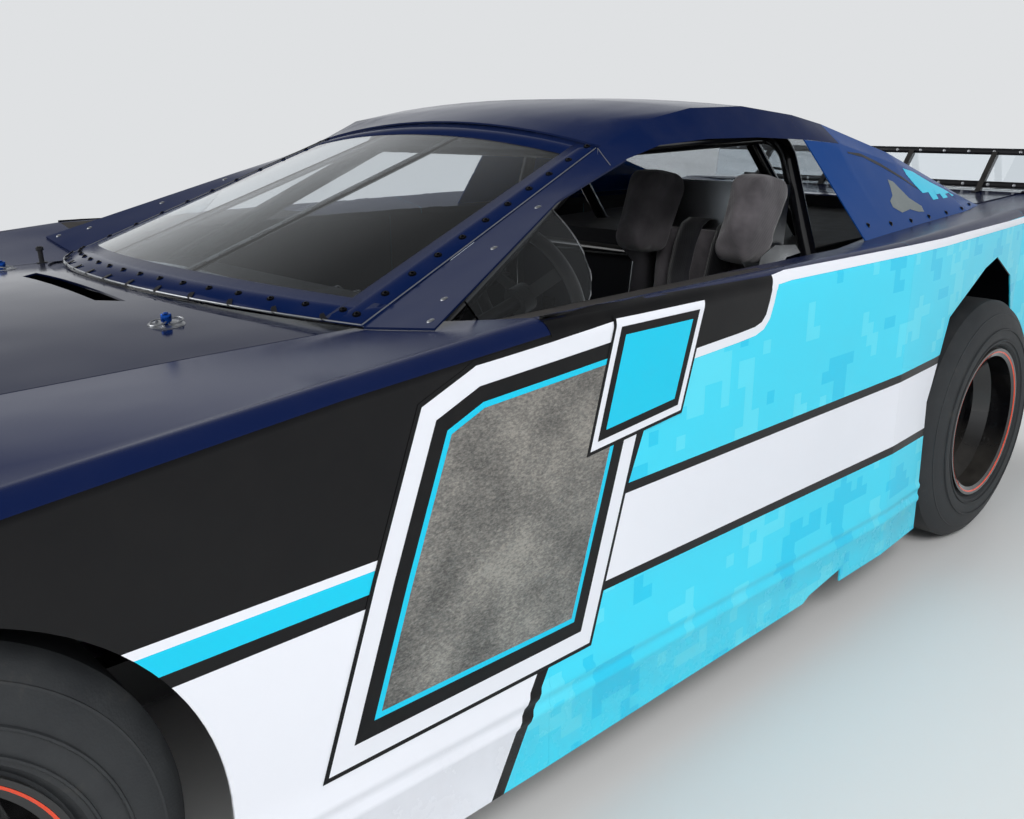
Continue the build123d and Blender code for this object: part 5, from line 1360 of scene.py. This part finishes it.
@dataclass
class ScreenTrim:
    """The windscreen's dark border with its screws, clips and bright edge, an aluminium bead as a painted
    highlight of the glass's lit edge, and what is on the pillars.
    """

    # the glass's left foot and head, and the middle of its foot and head
    foot: tuple[float, float, float] = (1824.0, 643.6, 824.8)
    foot_middle: tuple[float, float, float] = (2000.0, 0.0, 848.6)
    head: tuple[float, float, float] = (1103.0, 524.6, 1098.2)
    head_middle: tuple[float, float, float] = (1103.0, 0.0, 1146.5)
    # the border's strips, as shares of the glass's height or width, and how far off the glass they lie
    strip_mm: float = 0.4
    level_strips: tuple = (("foot", (0.003, 0.05, 0.1)), ("head", (0.9, 0.95, 0.984)))
    level_lift: float = 0.5
    upright_strips: tuple = (("left", (0.999, 0.9695, 0.94)), ("right", (0.001, 0.0305, 0.06)))
    upright_lift: float = 0.55
    upright_run: float = 0.985
    # the bright edge, an aluminium bead that is a painted highlight of the glass's lit edge: how far inside
    # the glass's sides it runs and how far up, and its wires' radii
    edge_in: float = 0.004
    edge_run: float = 0.97
    edge_lift: float = 1.0
    edge_wires: tuple[float, float] = (1.6, 1.4)
    clip: tuple = ((-10, -4), (10, -4), (10, 3), (4, 6), (-4, 6), (-10, 3))
    clip_count: int = 13
    clip_ends: tuple[float, float] = (0.06, 0.94)
    clip_rise: float = 0.012
    clip_lift: float = 1.2
    # the screws up both sides and along the foot, as shares, with their heads' radii
    side_across: tuple[float, float] = (0.026, 0.974)
    side_rises: tuple[float, ...] = tuple(0.04 + 0.093 * i for i in range(11))
    side_radius: float = 5.0
    foot_across: tuple[float, ...] = tuple(0.05 + 0.9 * i / 16 for i in range(17))
    foot_rise: float = 0.05
    foot_radius: float = 4.5
    screw_lift: float = 0.9
    probe: float = 40.0
    pillar_rivets: tuple = ((1394, 622), (1559, 677), (1736, 749), (1803, 796))
    pillar_seam: tuple = ((1124, 528), (1163, 602))
    glass: Skin = field(default_factory=lambda: Skin(("windscreen",)))
    roof: Skin = field(default_factory=lambda: Skin(("roof",)))

    @staticmethod
    def arc(corner: tuple[float, float, float], middle: tuple[float, float, float], across: float) -> Vector:
        """A point of the arc from the right corner over the middle to the left corner.

        Args:
            corner: the left corner.
            middle: the arc's middle.
            across: from 0 at the right to 1 at the left.

        Returns:
            The point in the axle frame.
        """
        x, y, z = corner
        chord, top = Vector((x, 0.0, z)), Vector(middle)
        sag = (top - chord).length
        radius = (y * y + sag * sag) / (2 * sag)
        angle = math.asin(y / radius) * (2 * across - 1)
        drop = (chord - top).normalized() * radius * (1 - math.cos(angle))
        return top + drop + Vector((0.0, radius * math.sin(angle), 0.0))

    @staticmethod
    def normal(across: float) -> Vector:
        """The outward direction at a share across."""
        return Vector((0.36, 0.42 * (2 * across - 1), 0.9)).normalized()

    def point(self, across: float, rise: float, lift: float = 0.0) -> Vector:
        """A point of the glass's outer face.

        Args:
            across: from 0 at the right edge to 1 at the left.
            rise: from 0 at the foot to 1 at the head.
            lift: millimetres off the face.

        Returns:
            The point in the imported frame.
        """
        low = self.arc(self.foot, self.foot_middle, across)
        high = self.arc(self.head, self.head_middle, across)
        out = self.normal(across)
        spot = place(*(low + (high - low) * rise))
        found = self.glass.hit(spot + out * self.probe * MM, -out)
        return (found[0] if found else spot) + out * lift * MM

    def border(self) -> None:
        """Makes the four strips of the border and the bright edge, a painted highlight, round three of the
        glass's sides.
        """
        strips = {name: [[self.point(u / 40, rise, self.level_lift) for rise in rises] for u in range(41)]
                  for name, rises in self.level_strips}
        for name, shares in self.upright_strips:
            strips[name] = [[self.point(across, t / 30 * self.upright_run, self.upright_lift)
                             for across in shares] for t in range(31)]
        for name, rows in strips.items():
            Shape.grid(rows).build(f"screen_border_{name}", Finishes.SKY_TINTED_BLACK_WRAP, "panel_black",
                                   thick_mm=self.strip_mm)
        low, high = self.edge_in, 1 - self.edge_in
        level_wire, upright_wire = self.edge_wires
        edge = Shape.tube([self.point(low + (high - low) * u / 60, low, self.edge_lift) for u in range(61)],
                          level_wire, 8)
        for across in (low, high):
            edge.join(Shape.tube([self.point(across, low + self.edge_run * t / 30, self.edge_lift)
                                  for t in range(31)], upright_wire, 8))
        edge.build("screen_edge_painted_highlight", Finishes.RIVET, "bare_aluminium")

    def clips(self) -> None:
        """Makes the row of clips along the foot."""
        clips = Shape()
        clip = Shape.plate(list(self.clip), 2.0)
        first, last = self.clip_ends
        for i in range(self.clip_count):
            across = first + (last - first) * i / (self.clip_count - 1)
            spot, beyond = (self.point(share, self.clip_rise, self.clip_lift)
                            for share in (across, across + 0.01))
            ahead = beyond - spot
            clips.join(clip, facing(spot, self.normal(across), math.atan2(ahead.y, ahead.x)))
        clips.build("screen_clips", Finishes.BLACK_PLASTIC, "black_steel", bevel_mm=0.5)

    def pillars(self, fasteners: Fasteners) -> None:
        """Makes the rivets and the seam of the vinyl on both pillars.

        Args:
            fasteners: where the rivets are gathered.
        """
        for x, y in self.pillar_rivets:
            for side in SIDES.values():
                fasteners.rivet("pillar_rivets", *self.roof.above(x, side * y), 7.0)
        for name, side in SIDES.items():
            rows = []
            for i in range(13):
                x, y = (a + (b - a) * i / 12 for a, b in zip(*self.pillar_seam))
                point, normal = self.roof.above(x, side * y)
                rows.append([point + normal * 0.3 * MM + Vector((half * MM, 0, 0)) for half in (-1.5, 1.5)])
            Shape.grid(rows).build(f"pillar_seam_{name}", Finishes.RIVET, "bare_aluminium")

    def build(self, fasteners: Fasteners) -> None:
        """Makes all of the trim.

        Args:
            fasteners: where the screws are gathered.
        """
        self.border()
        self.clips()
        self.pillars(fasteners)
        screws = [(across, rise, self.side_radius) for rise in self.side_rises for across in self.side_across]
        screws += [(across, self.foot_rise, self.foot_radius) for across in self.foot_across]
        for across, rise, radius in screws:
            spot = self.point(across, rise, self.screw_lift)
            fasteners.screw("screen_screws", spot, self.normal(across), radius)


# Hood


@dataclass
class HoodHardware:
    """Hood pins with their scuff plates and clips, and the post on the cowl's right."""

    pins: tuple = ((2062, 421), (2062, -421), (3150, 380), (3150, -380))
    post: tuple = (1930, -560)
    scuff_plate: tuple = ((30.0, 0.0), (30.0, 0.9), (27.6, 1.4), (9.5, 1.4), (9.0, 0.9), (9.0, 0.0))
    plate_top: float = 1.4
    screw_circle: float = 22.0
    screw_count: int = 3
    screw_radius: float = 2.6
    # each half of a pin's clip is a ring: its middle, its half length and half width, its height and its tilt
    clip_out: float = 14.0
    clip_half: tuple[float, float] = (13.0, 16.0)
    clip_lift: tuple[float, float] = (5.0, 3.0)
    clip_wire: float = 1.5
    knob: tuple = ((5.0, 0.5), (5.0, 5.0), (8.5, 5.6), (9.0, 7.0), (9.0, 17.0), (8.0, 18.5), (4.0, 19.0),
                   (3.5, 21.0), (0.01, 21.5))
    post_form: tuple = ((13, 0.3), (13, 2.5), (6, 3.5), (6, 30), (9, 31), (9, 38), (6, 41), (0.01, 41.5))

    def build(self, fasteners: Fasteners) -> None:
        """Makes the pins on the hood and the post beside it.

        Args:
            fasteners: where the screws are gathered.
        """
        skin = Skin(("hood",))
        knobs, plates, clips = Shape(), Shape(), Shape()
        turns = [math.tau * i / 24 for i in range(25)]
        (long, wide), (height, tilt) = self.clip_half, self.clip_lift
        for number, (x, y) in enumerate(self.pins):
            point, normal = skin.above(x, y)
            spot = facing(point, normal, 0.6 * number)
            plates.join(Shape.lathe(list(self.scuff_plate), 32), spot)
            for k in range(self.screw_count):
                turn = Matrix.Rotation(math.tau * k / self.screw_count, 4, "Z")
                hole = spot @ turn @ Matrix.Translation((self.screw_circle * MM, 0, self.plate_top * MM))
                fasteners.screw("hood_screws", hole.translation, normal, self.screw_radius)
            knobs.join(Shape.lathe(list(self.knob), 28), spot)
            for way in (1, -1):
                ring = [spot @ (Vector((self.clip_out * way + long * math.cos(a), wide * math.sin(a),
                                        height + tilt * math.cos(a))) * MM) for a in turns]
                clips.join(Shape.tube(ring, self.clip_wire, 8))
        spot = facing(*Skin(("nose", "hood", "firewall", "roof")).above(*self.post))
        post = Shape.lathe(list(self.post_form), 20).moved(spot)
        post.build("cowl_post", Finishes.BLACK_PLASTIC, "black_steel")
        knobs.build("hood_pin_knobs", Finishes.BLUE_ANODISED, "bare_aluminium", "hood")
        plates.build("hood_scuff_plates", Finishes.BARE_SHEET, "bare_aluminium", "hood")
        clips.build("hood_pin_clips", Finishes.RIVET, "bare_aluminium", "hood")


# Spoiler


@dataclass
class SpoilerTrim:
    """Dark strips along the clear spoiler's edges, with their rows of rivets."""

    foot_x: float = -1150.0
    lean: float = 25.0
    low_z: float = 888.3
    rise: float = 150.0
    pitch: float = 94.0
    strip_mm: float = 0.4
    # each strip's name, its lower and upper edge as shares of the height, and half its length
    strips: tuple = (("top", 0.84, 0.995, 755.0), ("foot", 0.05, 0.2, 606.0))
    # how far ahead of the sheet's rear face the two strips lie, in front of it and behind it
    faces: tuple[float, float] = (4.5, -0.5)

    def face(self, y: float, up: float, lift: float) -> Vector:
        """A point beside the spoiler's rear face, at a share of its height."""
        return place(self.foot_x - self.lean * up + lift, y, self.low_z + self.rise * up)

    def build(self, fasteners: Fasteners) -> None:
        """Makes the strips and sets the rivets.

        Args:
            fasteners: where the rivets are gathered.
        """
        for name, low, high, half in self.strips:
            middle = (low + high) / 2
            for number, lift in enumerate(self.faces):
                strip = Shape.grid([[self.face(y, up, lift) for up in (low, middle, high)]
                                    for y in (-half, 0.0, half)])
                strip.build(f"spoiler_strip_{name}_{number}", Finishes.BLACK_PLASTIC, "black_steel",
                            "deck_lid", thick_mm=self.strip_mm)
            count = int(2 * half / self.pitch)
            for i in range(count + 1):
                spot = self.face((i - count / 2) * self.pitch, middle, 5.0)
                fasteners.rivet("spoiler_rivets", spot, Vector((1, 0, 0.16)).normalized(), 6.5)


# Wheels


@dataclass
class WheelTrim:
    """The painted line and the nuts of each wheel, and the ribs on its tyre's wall."""

    axles: tuple = (("front", WHEELBASE, 844.0), ("rear", 0.0, 866.0))
    half_width: float = 127.0
    disc_face: float = -26.0
    stripe: tuple[float, float] = (196.5, 200.5)
    lug_circle: float = 63.5
    lug_count: int = 5
    nut: tuple = ((19.0, 0), (19.0, 3), (15.6, 4), (15.6, 24), (14.0, 26), (8.0, 26.5), (8.0, 36), (6.0, 38),
                  (0.01, 38))
    # each rib's radius, its place across the wheel and how far it stands out
    ribs: tuple = ((231.0, 132.4, 2.2), (262.0, 134.4, 1.4), (303.0, 118.5, 1.6))
    segments: int = 96

    def painted_line(self) -> Shape:
        """The line on the lip's sloping inner face."""
        inner, outer = ((radius, self.half_width - (202.0 - radius) * 0.4) for radius in self.stripe)
        profile = [(radius, lip + high) for (radius, lip), high in
                   ((inner, 0.1), (inner, 0.5), (outer, 0.5), (outer, 0.1))]
        return Shape.lathe(profile, self.segments, Ends.LOOPED)

    def nuts(self) -> Shape:
        """The nuts on their circle."""
        nuts = Shape()
        nut = Shape.lathe([(radius, self.disc_face + high) for radius, high in self.nut], 6)
        for k in range(self.lug_count):
            angle = math.pi / 2 + math.tau * k / self.lug_count
            out = Vector((math.cos(angle), math.sin(angle), 0)) * self.lug_circle * MM
            nuts.join(nut, Matrix.Translation(out))
        return nuts

    def wall_ribs(self) -> Shape:
        """The raised ribs of the tyre's wall."""
        ribs = Shape()
        for radius, across, high in self.ribs:
            profile = [(radius - 3, across - 2), (radius - 1.5, across + high), (radius + 1.5, across + high),
                       (radius + 3, across - 2)]
            ribs.join(Shape.lathe(profile, self.segments, Ends.OPEN))
        return ribs

    def build(self) -> None:
        """Makes the trim of all four wheels."""
        line, nuts, ribs = self.painted_line(), self.nuts(), self.wall_ribs()
        for end, x, middle in self.axles:
            for side_name, side in SIDES.items():
                name = f"{end}_{side_name}"
                body = f"wheel_{name}"
                spot = facing(place(x, side * middle, TYRE_RADIUS), Vector((0, side, 0)))
                line.moved(spot).build(f"rim_stripe_{name}", Finishes.STRIPE_RED, "wheel_black", body)
                nuts.moved(spot).build(f"lug_nuts_{name}", Finishes.RIVET, "bare_aluminium", body, 0.8)
                ribs.moved(spot).build(f"tyre_ribs_{name}", Finishes.RUBBER, "tyre", body)


# Springs


@dataclass
class CoilSprings:
    """The coil-over dampers with real wound springs, in place of the plain ones."""

    # foot and head of each damper on the left, and the axis of its eyes
    places: tuple = (((2532.0, 470.0, 233.0), (2532.0, 420.0, 640.0), (1, 0, 0)),
                     ((-75.0, 330.0, 288.0), (-90.0, 300.0, 624.8), (0, 1, 0)))
    coil_radius: float = 38.0
    wire: float = 6.0
    turns: float = 8.5
    steps_a_turn: int = 24
    # the lower seat, the body's end and the upper seat, as shares of the length
    seat_share: float = 0.3
    body_share: float = 0.6
    top_share: float = 0.88
    eye: tuple = ((9, -21.5), (15, -20), (15, 20), (9, 21.5))

    def damper(self, length: float) -> Shape:
        """A damper's body, rod and spring seats.

        Args:
            length: from eye to eye in millimetres.

        Returns:
            The damper, standing on z = 0.
        """
        seat, body, top = (share * length for share in (self.seat_share, self.body_share, self.top_share))
        return Shape.lathe([(8, 0), (20, 8), (21, 22), (21, seat), (46, seat), (46, seat + 8), (21, seat + 9),
                            (20, body), (16, body + 4), (8, body + 5), (8, top), (46, top), (46, top + 8),
                            (10, top + 10), (9, length)], 24)

    def spring(self, length: float, stand: Matrix) -> Shape:
        """A spring wound between the seats of a damper.

        Args:
            length: the damper's length in millimetres.
            stand: where the damper stands.

        Returns:
            The spring in its place.
        """
        steps_in_all = int(self.turns * self.steps_a_turn)
        start = self.seat_share * length + 15
        run = (self.top_share - self.seat_share) * length - 22
        path = []
        for i in range(steps_in_all + 1):
            share = i / steps_in_all
            angle = math.tau * self.turns * share
            point = Vector((self.coil_radius * math.cos(angle), self.coil_radius * math.sin(angle),
                            start + run * share)) * MM
            path.append(stand @ point)
        return Shape.tube(path, self.wire, 10)

    def build(self) -> None:
        """Makes the four springs and the four dampers."""
        springs, dampers = Shape(), Shape()
        for low, high, eye in self.places:
            for side in SIDES.values():
                foot, head = (place(x, side * y, z) for x, y, z in (low, high))
                length = (head - foot).length / MM
                stand = facing(foot, (head - foot).normalized())
                dampers.join(self.damper(length), stand)
                for end in (foot, head):
                    dampers.join(Shape.lathe(list(self.eye), 20), facing(end, Vector(eye)))
                springs.join(self.spring(length, stand))
        coils = springs.build("wound_springs", Finishes.SPRING, "damper", smooth_deg=60)
        bodies = dampers.build("damper_bodies", Finishes.BARE_SHEET, "bare_aluminium")
        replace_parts(coils, "coil_overs")
        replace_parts(bodies, "coil_overs")


# Windscreen straps


@dataclass
class SlottedStraps:
    """The two straps behind the windscreen with their rows of slots, in place of the plain ones."""

    pitch: float = 78.0
    slot_length: float = 52.0
    slot_width: float = 15.0
    width: float = 40.0
    thick: float = 4.0
    end_mm: float = 20.0
    near_mm: float = 30.0

    def bridge(self) -> Shape:
        """One pitch of a strap: a bridge between two slots, with their round ends, and both rails."""
        edge, round_end, half = self.width / 2, self.slot_width / 2, self.pitch / 2
        start = (self.pitch - self.slot_length) / 2 + round_end
        notch = [(round_end, half), (round_end, start)]
        notch += [(round_end * math.cos(a), start - round_end * math.sin(a))
                  for a in (math.pi * k / 8 for k in range(1, 8))]
        notch += [(-round_end, start), (-round_end, half)]
        other = [(-x, -y) for x, y in notch]
        outline = [(edge, half), *notch, (-edge, half), (-edge, -half), *other, (edge, -half)]
        return Shape.plate(outline, self.thick)

    @staticmethod
    def middle(points: list[Vector]) -> Vector:
        """The middle of some points."""
        return sum(points, Vector()) / len(points)

    def build(self) -> None:
        """Makes both straps along the plain straps' lines."""
        straps = Shape()
        bridge = self.bridge()
        for side in SIDES.values():
            points = [v.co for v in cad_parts["windscreen_straps"].data.vertices if v.co.y * side > 0]
            front, back = max(p.x for p in points), min(p.x for p in points)
            foot = self.middle([p for p in points if p.x > front - self.end_mm * MM])
            head = self.middle([p for p in points if p.x < back + self.end_mm * MM])
            length = (head - foot).length
            run = (head - foot).normalized()
            corners = [p - foot for p in points if (p - foot).length < self.near_mm * MM]
            flat = max(corners, key=lambda reach: reach.length)
            up = run.cross((flat - run * flat.dot(run)).normalized())
            up = up if up.z > 0 else -up
            axes = Matrix((run.cross(up), run, up)).transposed().to_4x4()
            count = int(length / MM / self.pitch)
            stretch = Matrix.Diagonal((1, length / count / (self.pitch * MM), 1, 1))
            for i in range(count):
                spot = foot + (head - foot) * (i + 0.5) / count - up * self.thick / 2 * MM
                straps.join(bridge, Matrix.Translation(spot) @ axes @ stretch)
        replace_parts(straps.build("slotted_straps", Finishes.CAGE, "bare_aluminium"), "windscreen_straps")


# Sail panels


@dataclass
class SailTrim:
    """The black slit, the worn patch, the printed squares and the row of screws on each sail panel."""

    slit: tuple = ((205, 1062), (120, 1052), (20, 1022), (-80, 985), (-160, 950))
    slit_half: float = 4.5
    patch: tuple = ((32, 985), (2, 978), (-50, 930), (-110, 905), (-105, 890), (-60, 893), (-10, 903),
                    (60, 899), (105, 916), (100, 932), (62, 944), (44, 965))
    squares: tuple = ((-135, 1008), (-135, 988), (-155, 988), (-155, 962), (-181, 962), (-181, 936),
                      (-233, 936), (-233, 914), (-285, 914), (-285, 926), (-330, 926), (-330, 912),
                      (-382, 912), (-382, 922), (-434, 922), (-434, 912), (-470, 912), (-414, 934),
                      (-317, 960), (-207, 996))
    lift: float = 0.6
    cell_x: int = 15
    cell_z: int = 8
    screws: tuple = ((330, 888), (180, 880), (30, 876), (-120, 876), (-270, 876), (-420, 878), (-560, 880))

    def sheet(self, outline: tuple) -> Shape:
        """A flat sheet with this outline, cut fine enough for the sail's bend."""
        xs, zs = ([corner[k] for corner in outline] for k in (0, 1))
        return Shape.cut_sheet(list(outline), list(range(min(xs), max(xs), self.cell_x)),
                               list(range(min(zs), max(zs), self.cell_z)))

    def slit_rows(self, skin: Skin, side: int) -> list[list[Vector]]:
        """The slit's rows of points, widest in the middle and narrow at both ends.

        Args:
            skin: the sail's faces.
            side: left (1) or right (-1).

        Returns:
            The rows.
        """
        rows = []
        for i in range(25):
            share = i / 24 * (len(self.slit) - 1)
            k = min(int(share), len(self.slit) - 2)
            x, z = (a + (b - a) * (share - k) for a, b in zip(self.slit[k], self.slit[k + 1]))
            half = self.slit_half * math.sin(math.pi * max(0.05, i / 24)) ** 0.5 + 0.6
            spots = [skin.beside(x, z + drop, side) for drop in (half, 0.0, -half)]
            rows.append([point + normal * 0.5 * MM for point, normal in spots])
        return rows

    def build(self, fasteners: Fasteners) -> None:
        """Lays the slit and the sheets on both sails and sets their screws.

        Args:
            fasteners: where the screws are gathered.
        """
        for name, side in SIDES.items():
            skin = Skin((f"sail_{name}", "roof"))
            slit = Shape.grid(self.slit_rows(skin, side))
            slit.build(f"sail_slit_{name}", Finishes.BLACK_PLASTIC, "black_steel")
            for label, outline, finish in (("patch", self.patch, Finishes.GEL_COAT),
                                           ("squares", self.squares, Finishes.CYAN_WRAP)):
                laid = skin.laid(self.sheet(outline), side, self.lift)
                laid.build(f"sail_{label}_{name}", finish, "bare_aluminium", smooth_deg=60)
            for x, z in self.screws:
                fasteners.screw("body_screws", *skin.beside(x, z, side), 5.0)


# Wing windows


@dataclass
class WingEdgeHighlights:
    """The bright cut edge along the rear of each clear wing window: an aluminium bead as a painted highlight
    of the light that the edge catches.
    """

    step: float = 12.0
    radius: float = 1.5

    def build(self) -> None:
        """Runs a thin bead along each window's rear edge, as a painted highlight."""
        beads = Shape()
        for side in SIDES.values():
            rows = {}
            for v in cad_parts["wing_windows"].data.vertices:
                if v.co.y * side > 0:
                    rows.setdefault(round(v.co.z / MM / self.step), []).append(v.co)
            path = [min(row, key=lambda p: p.x).copy() for _, row in sorted(rows.items())]
            beads.join(Shape.tube(path, self.radius, 8))
        beads.build("wing_window_edge_highlights", Finishes.RIVET, "bare_aluminium")


# Cockpit


@dataclass
class Cockpit:
    """The gauges on the dash, the harness over the seat and the bracket beside it."""

    seat_y: float = 370.0
    seat_back: float = 430.0
    dash_x: float = 1499.4
    # each gauge's y, z and radius: the large one behind the wheel, then two rows of small ones
    gauges: tuple = ((370.0, 735.0, 52.0),
                     *((y, z, 27.0) for y in (230.0, 150.0, 70.0) for z in (755.0, 690.0)))
    # the belts: how far ahead of the seat's back, how far from its middle, and the height
    shoulder_belt: tuple = ((-60, 62.0, 862), (-25, 62.0, 878), (8, 62.0, 884), (42, 62.0, 868),
                            (70, 62.0, 820), (95, 62.0, 740), (120, 41.85, 620), (170, 21.7, 490),
                            (215, 21.7, 425))
    shoulder_width: float = 74.0
    lap_belt: tuple = ((130, 188, 400), (180, 120, 420), (212, 40, 424))
    lap_width: float = 50.0
    buckle: tuple = ((30, 0), (34, 3), (34, 10), (28, 15), (10, 17), (0.01, 17))
    # the bracket's upright web as (x, z), and its flange as (x, y from the web)
    web: tuple = ((585, 745), (560, 815), (500, 838), (400, 830), (372, 806), (440, 800), (470, 772),
                  (380, 760), (395, 745))
    flange: tuple = ((395, -1), (585, -1), (575, 62), (540, 74), (430, 74), (400, 60))
    bracket_out: float = 222.0
    flange_z: float = 745.0
    sheet_mm: float = 3.0

    def strap(self, path: tuple, side: int, width: float) -> Shape:
        """A flat strap along a path, lying level across the car.

        Args:
            path: its points, as in the belts' tables.
            side: left (1) or right (-1) of the seat's middle.
            width: its width in millimetres.

        Returns:
            The strap's sheet.
        """
        points = [place(self.seat_back + x, self.seat_y + side * out, z) for x, out, z in path]
        rows = []
        for i, point in enumerate(points):
            ahead = (points[min(i + 1, len(points) - 1)] - points[max(i - 1, 0)]).normalized()
            across = Vector((0, 1, 0))
            across = (across - ahead * across.dot(ahead)).normalized()
            rows.append([point + across * width * share * MM for share in (-0.5, -0.25, 0.0, 0.25, 0.5)])
        return Shape.grid(rows)

    def instruments(self) -> None:
        """Makes the gauges with their dials and needles."""
        bezels, dials, needles = Shape(), Shape(), Shape()
        for number, (y, z, radius) in enumerate(self.gauges):
            spot = facing(place(self.dash_x, y, z), Vector((-1, 0, 0)))
            bezels.join(Shape.lathe([(radius, 0), (radius + 3, 2), (radius + 3, 9), (radius, 11),
                                     (radius - 3, 9), (radius - 3, 4), (0.01, 4)], 36), spot)
            dials.join(Shape.lathe([(radius - 3.2, 4.2), (radius - 3.4, 4.9), (0.01, 4.9)], 36), spot)
            needle = Shape.plate([(-1.2, -6), (1.2, -6), (0.5, radius * 0.7), (-0.5, radius * 0.7)], 1.0)
            turn = Matrix.Rotation(2.1 + 0.4 * number, 4, "Z")
            needles.join(needle, spot @ Matrix.Translation((0, 0, 0.006)) @ turn)
        bezels.build("gauge_bezels", Finishes.RIM_ENAMEL, "black_steel")
        dials.build("gauge_dials", Finishes.WHITE_WRAP, "sheet_black")
        needles.build("gauge_needles", Finishes.STRIPE_RED, "black_steel")

    def build(self) -> None:
        """Makes the instruments, the harness with its buckle, and the bracket."""
        self.instruments()
        belts = Shape()
        for belt, width, sides in ((self.shoulder_belt, self.shoulder_width, (-1, 1)),
                                   (self.lap_belt, self.lap_width, (1, -1))):
            for side in sides:
                belts.join(self.strap(belt, side, width))
        belts.build("harness", Finishes.WEBBING, "pad_fabric", thick_mm=2.0)
        out = self.seat_y + self.bracket_out
        upright = Matrix(((1, 0, 0), (0, 0, 1), (0, 1, 0))).to_4x4()
        web, flange = (Shape.plate(list(outline), self.sheet_mm) for outline in (self.web, self.flange))
        bracket = web.moved(Matrix.Translation(place(0, out, 0)) @ upright)
        bracket.join(flange, Matrix.Translation(place(0, out, self.flange_z)))
        bracket.build("seat_side_bracket", Finishes.BARE_SHEET, "bare_aluminium", bevel_mm=0.8)
        spot = facing(place(self.seat_back + 222, self.seat_y, 426), Vector((0.45, 0, 1)).normalized())
        buckle = Shape.lathe(list(self.buckle), 28).moved(spot)
        buckle.build("harness_buckle", Finishes.BARE_SHEET, "bare_aluminium")


# Seat


@dataclass
class SeatCushions:
    """The seat's soft pads: each a stuffed knit cover, blown up by a cloth simulation."""

    voxel: float = 0.006
    frames: int = 20
    pressure: float = 4.0
    cap: float = 0.007
    fill: float = 0.8

    def stuffed(self, made: bpy.types.Object) -> None:
        """Lets the pads swell as cloth, with no point moving further than the cap.

        Args:
            made: the pads.
        """
        scene = bpy.context.scene
        before = [v.co.copy() for v in made.data.vertices]
        cloth = made.modifiers.new("stuffing", "CLOTH")
        cloth.settings.use_pressure = True
        cloth.settings.uniform_pressure_force = self.pressure
        cloth.settings.effector_weights.gravity = 0.0
        cloth.settings.quality = 5
        for step in range(1, self.frames + 1):
            scene.frame_set(step)
        graph = bpy.context.evaluated_depsgraph_get()
        after = [v.co.copy() for v in made.evaluated_get(graph).data.vertices]
        made.modifiers.remove(cloth)
        scene.frame_set(1)
        for v, old, new in zip(made.data.vertices, before, after):
            move = new - old
            v.co = old + move * min(1.0, self.cap / max(move.length, 1e-9))

    def build(self) -> None:
        """Puts the soft pads in the place of the plain ones."""
        made = bpy.data.objects.new("seat_cushions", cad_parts["seat_pads"].data.copy())
        bpy.context.scene.collection.objects.link(made)
        made.data.materials.clear()
        made.data.materials.append(PAINT.finish(Finishes.KNIT))
        remesh = made.modifiers.new("remesh", "REMESH")
        remesh.mode = "VOXEL"
        remesh.voxel_size = self.voxel
        graph = bpy.context.evaluated_depsgraph_get()
        soft = bpy.data.meshes.new_from_object(made.evaluated_get(graph))
        made.modifiers.remove(remesh)
        made.data = soft
        self.stuffed(made)
        made.data.shade_smooth()
        even = made.modifiers.new("even", "SMOOTH")
        even.factor = 0.5
        even.iterations = 4
        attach(made, "root")
        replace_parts(made, "seat_pads")
        LOG.info("piece seat_cushions: %d faces", len(made.data.polygons))


def main() -> None:
    """Builds the car's looks in order."""
    logging.basicConfig(level=logging.INFO, format="%(message)s")
    Studio().build()
    PAINT.dress_frame()
    Livery().build()
    fasteners = Fasteners()
    ScreenTrim().build(fasteners)
    HoodHardware().build(fasteners)
    SpoilerTrim().build(fasteners)
    WheelTrim().build()
    CoilSprings().build()
    SlottedStraps().build()
    SailTrim().build(fasteners)
    WingEdgeHighlights().build()
    Cockpit().build()
    SeatCushions().build()
    fasteners.build()


if __name__ == "__main__":
    main()
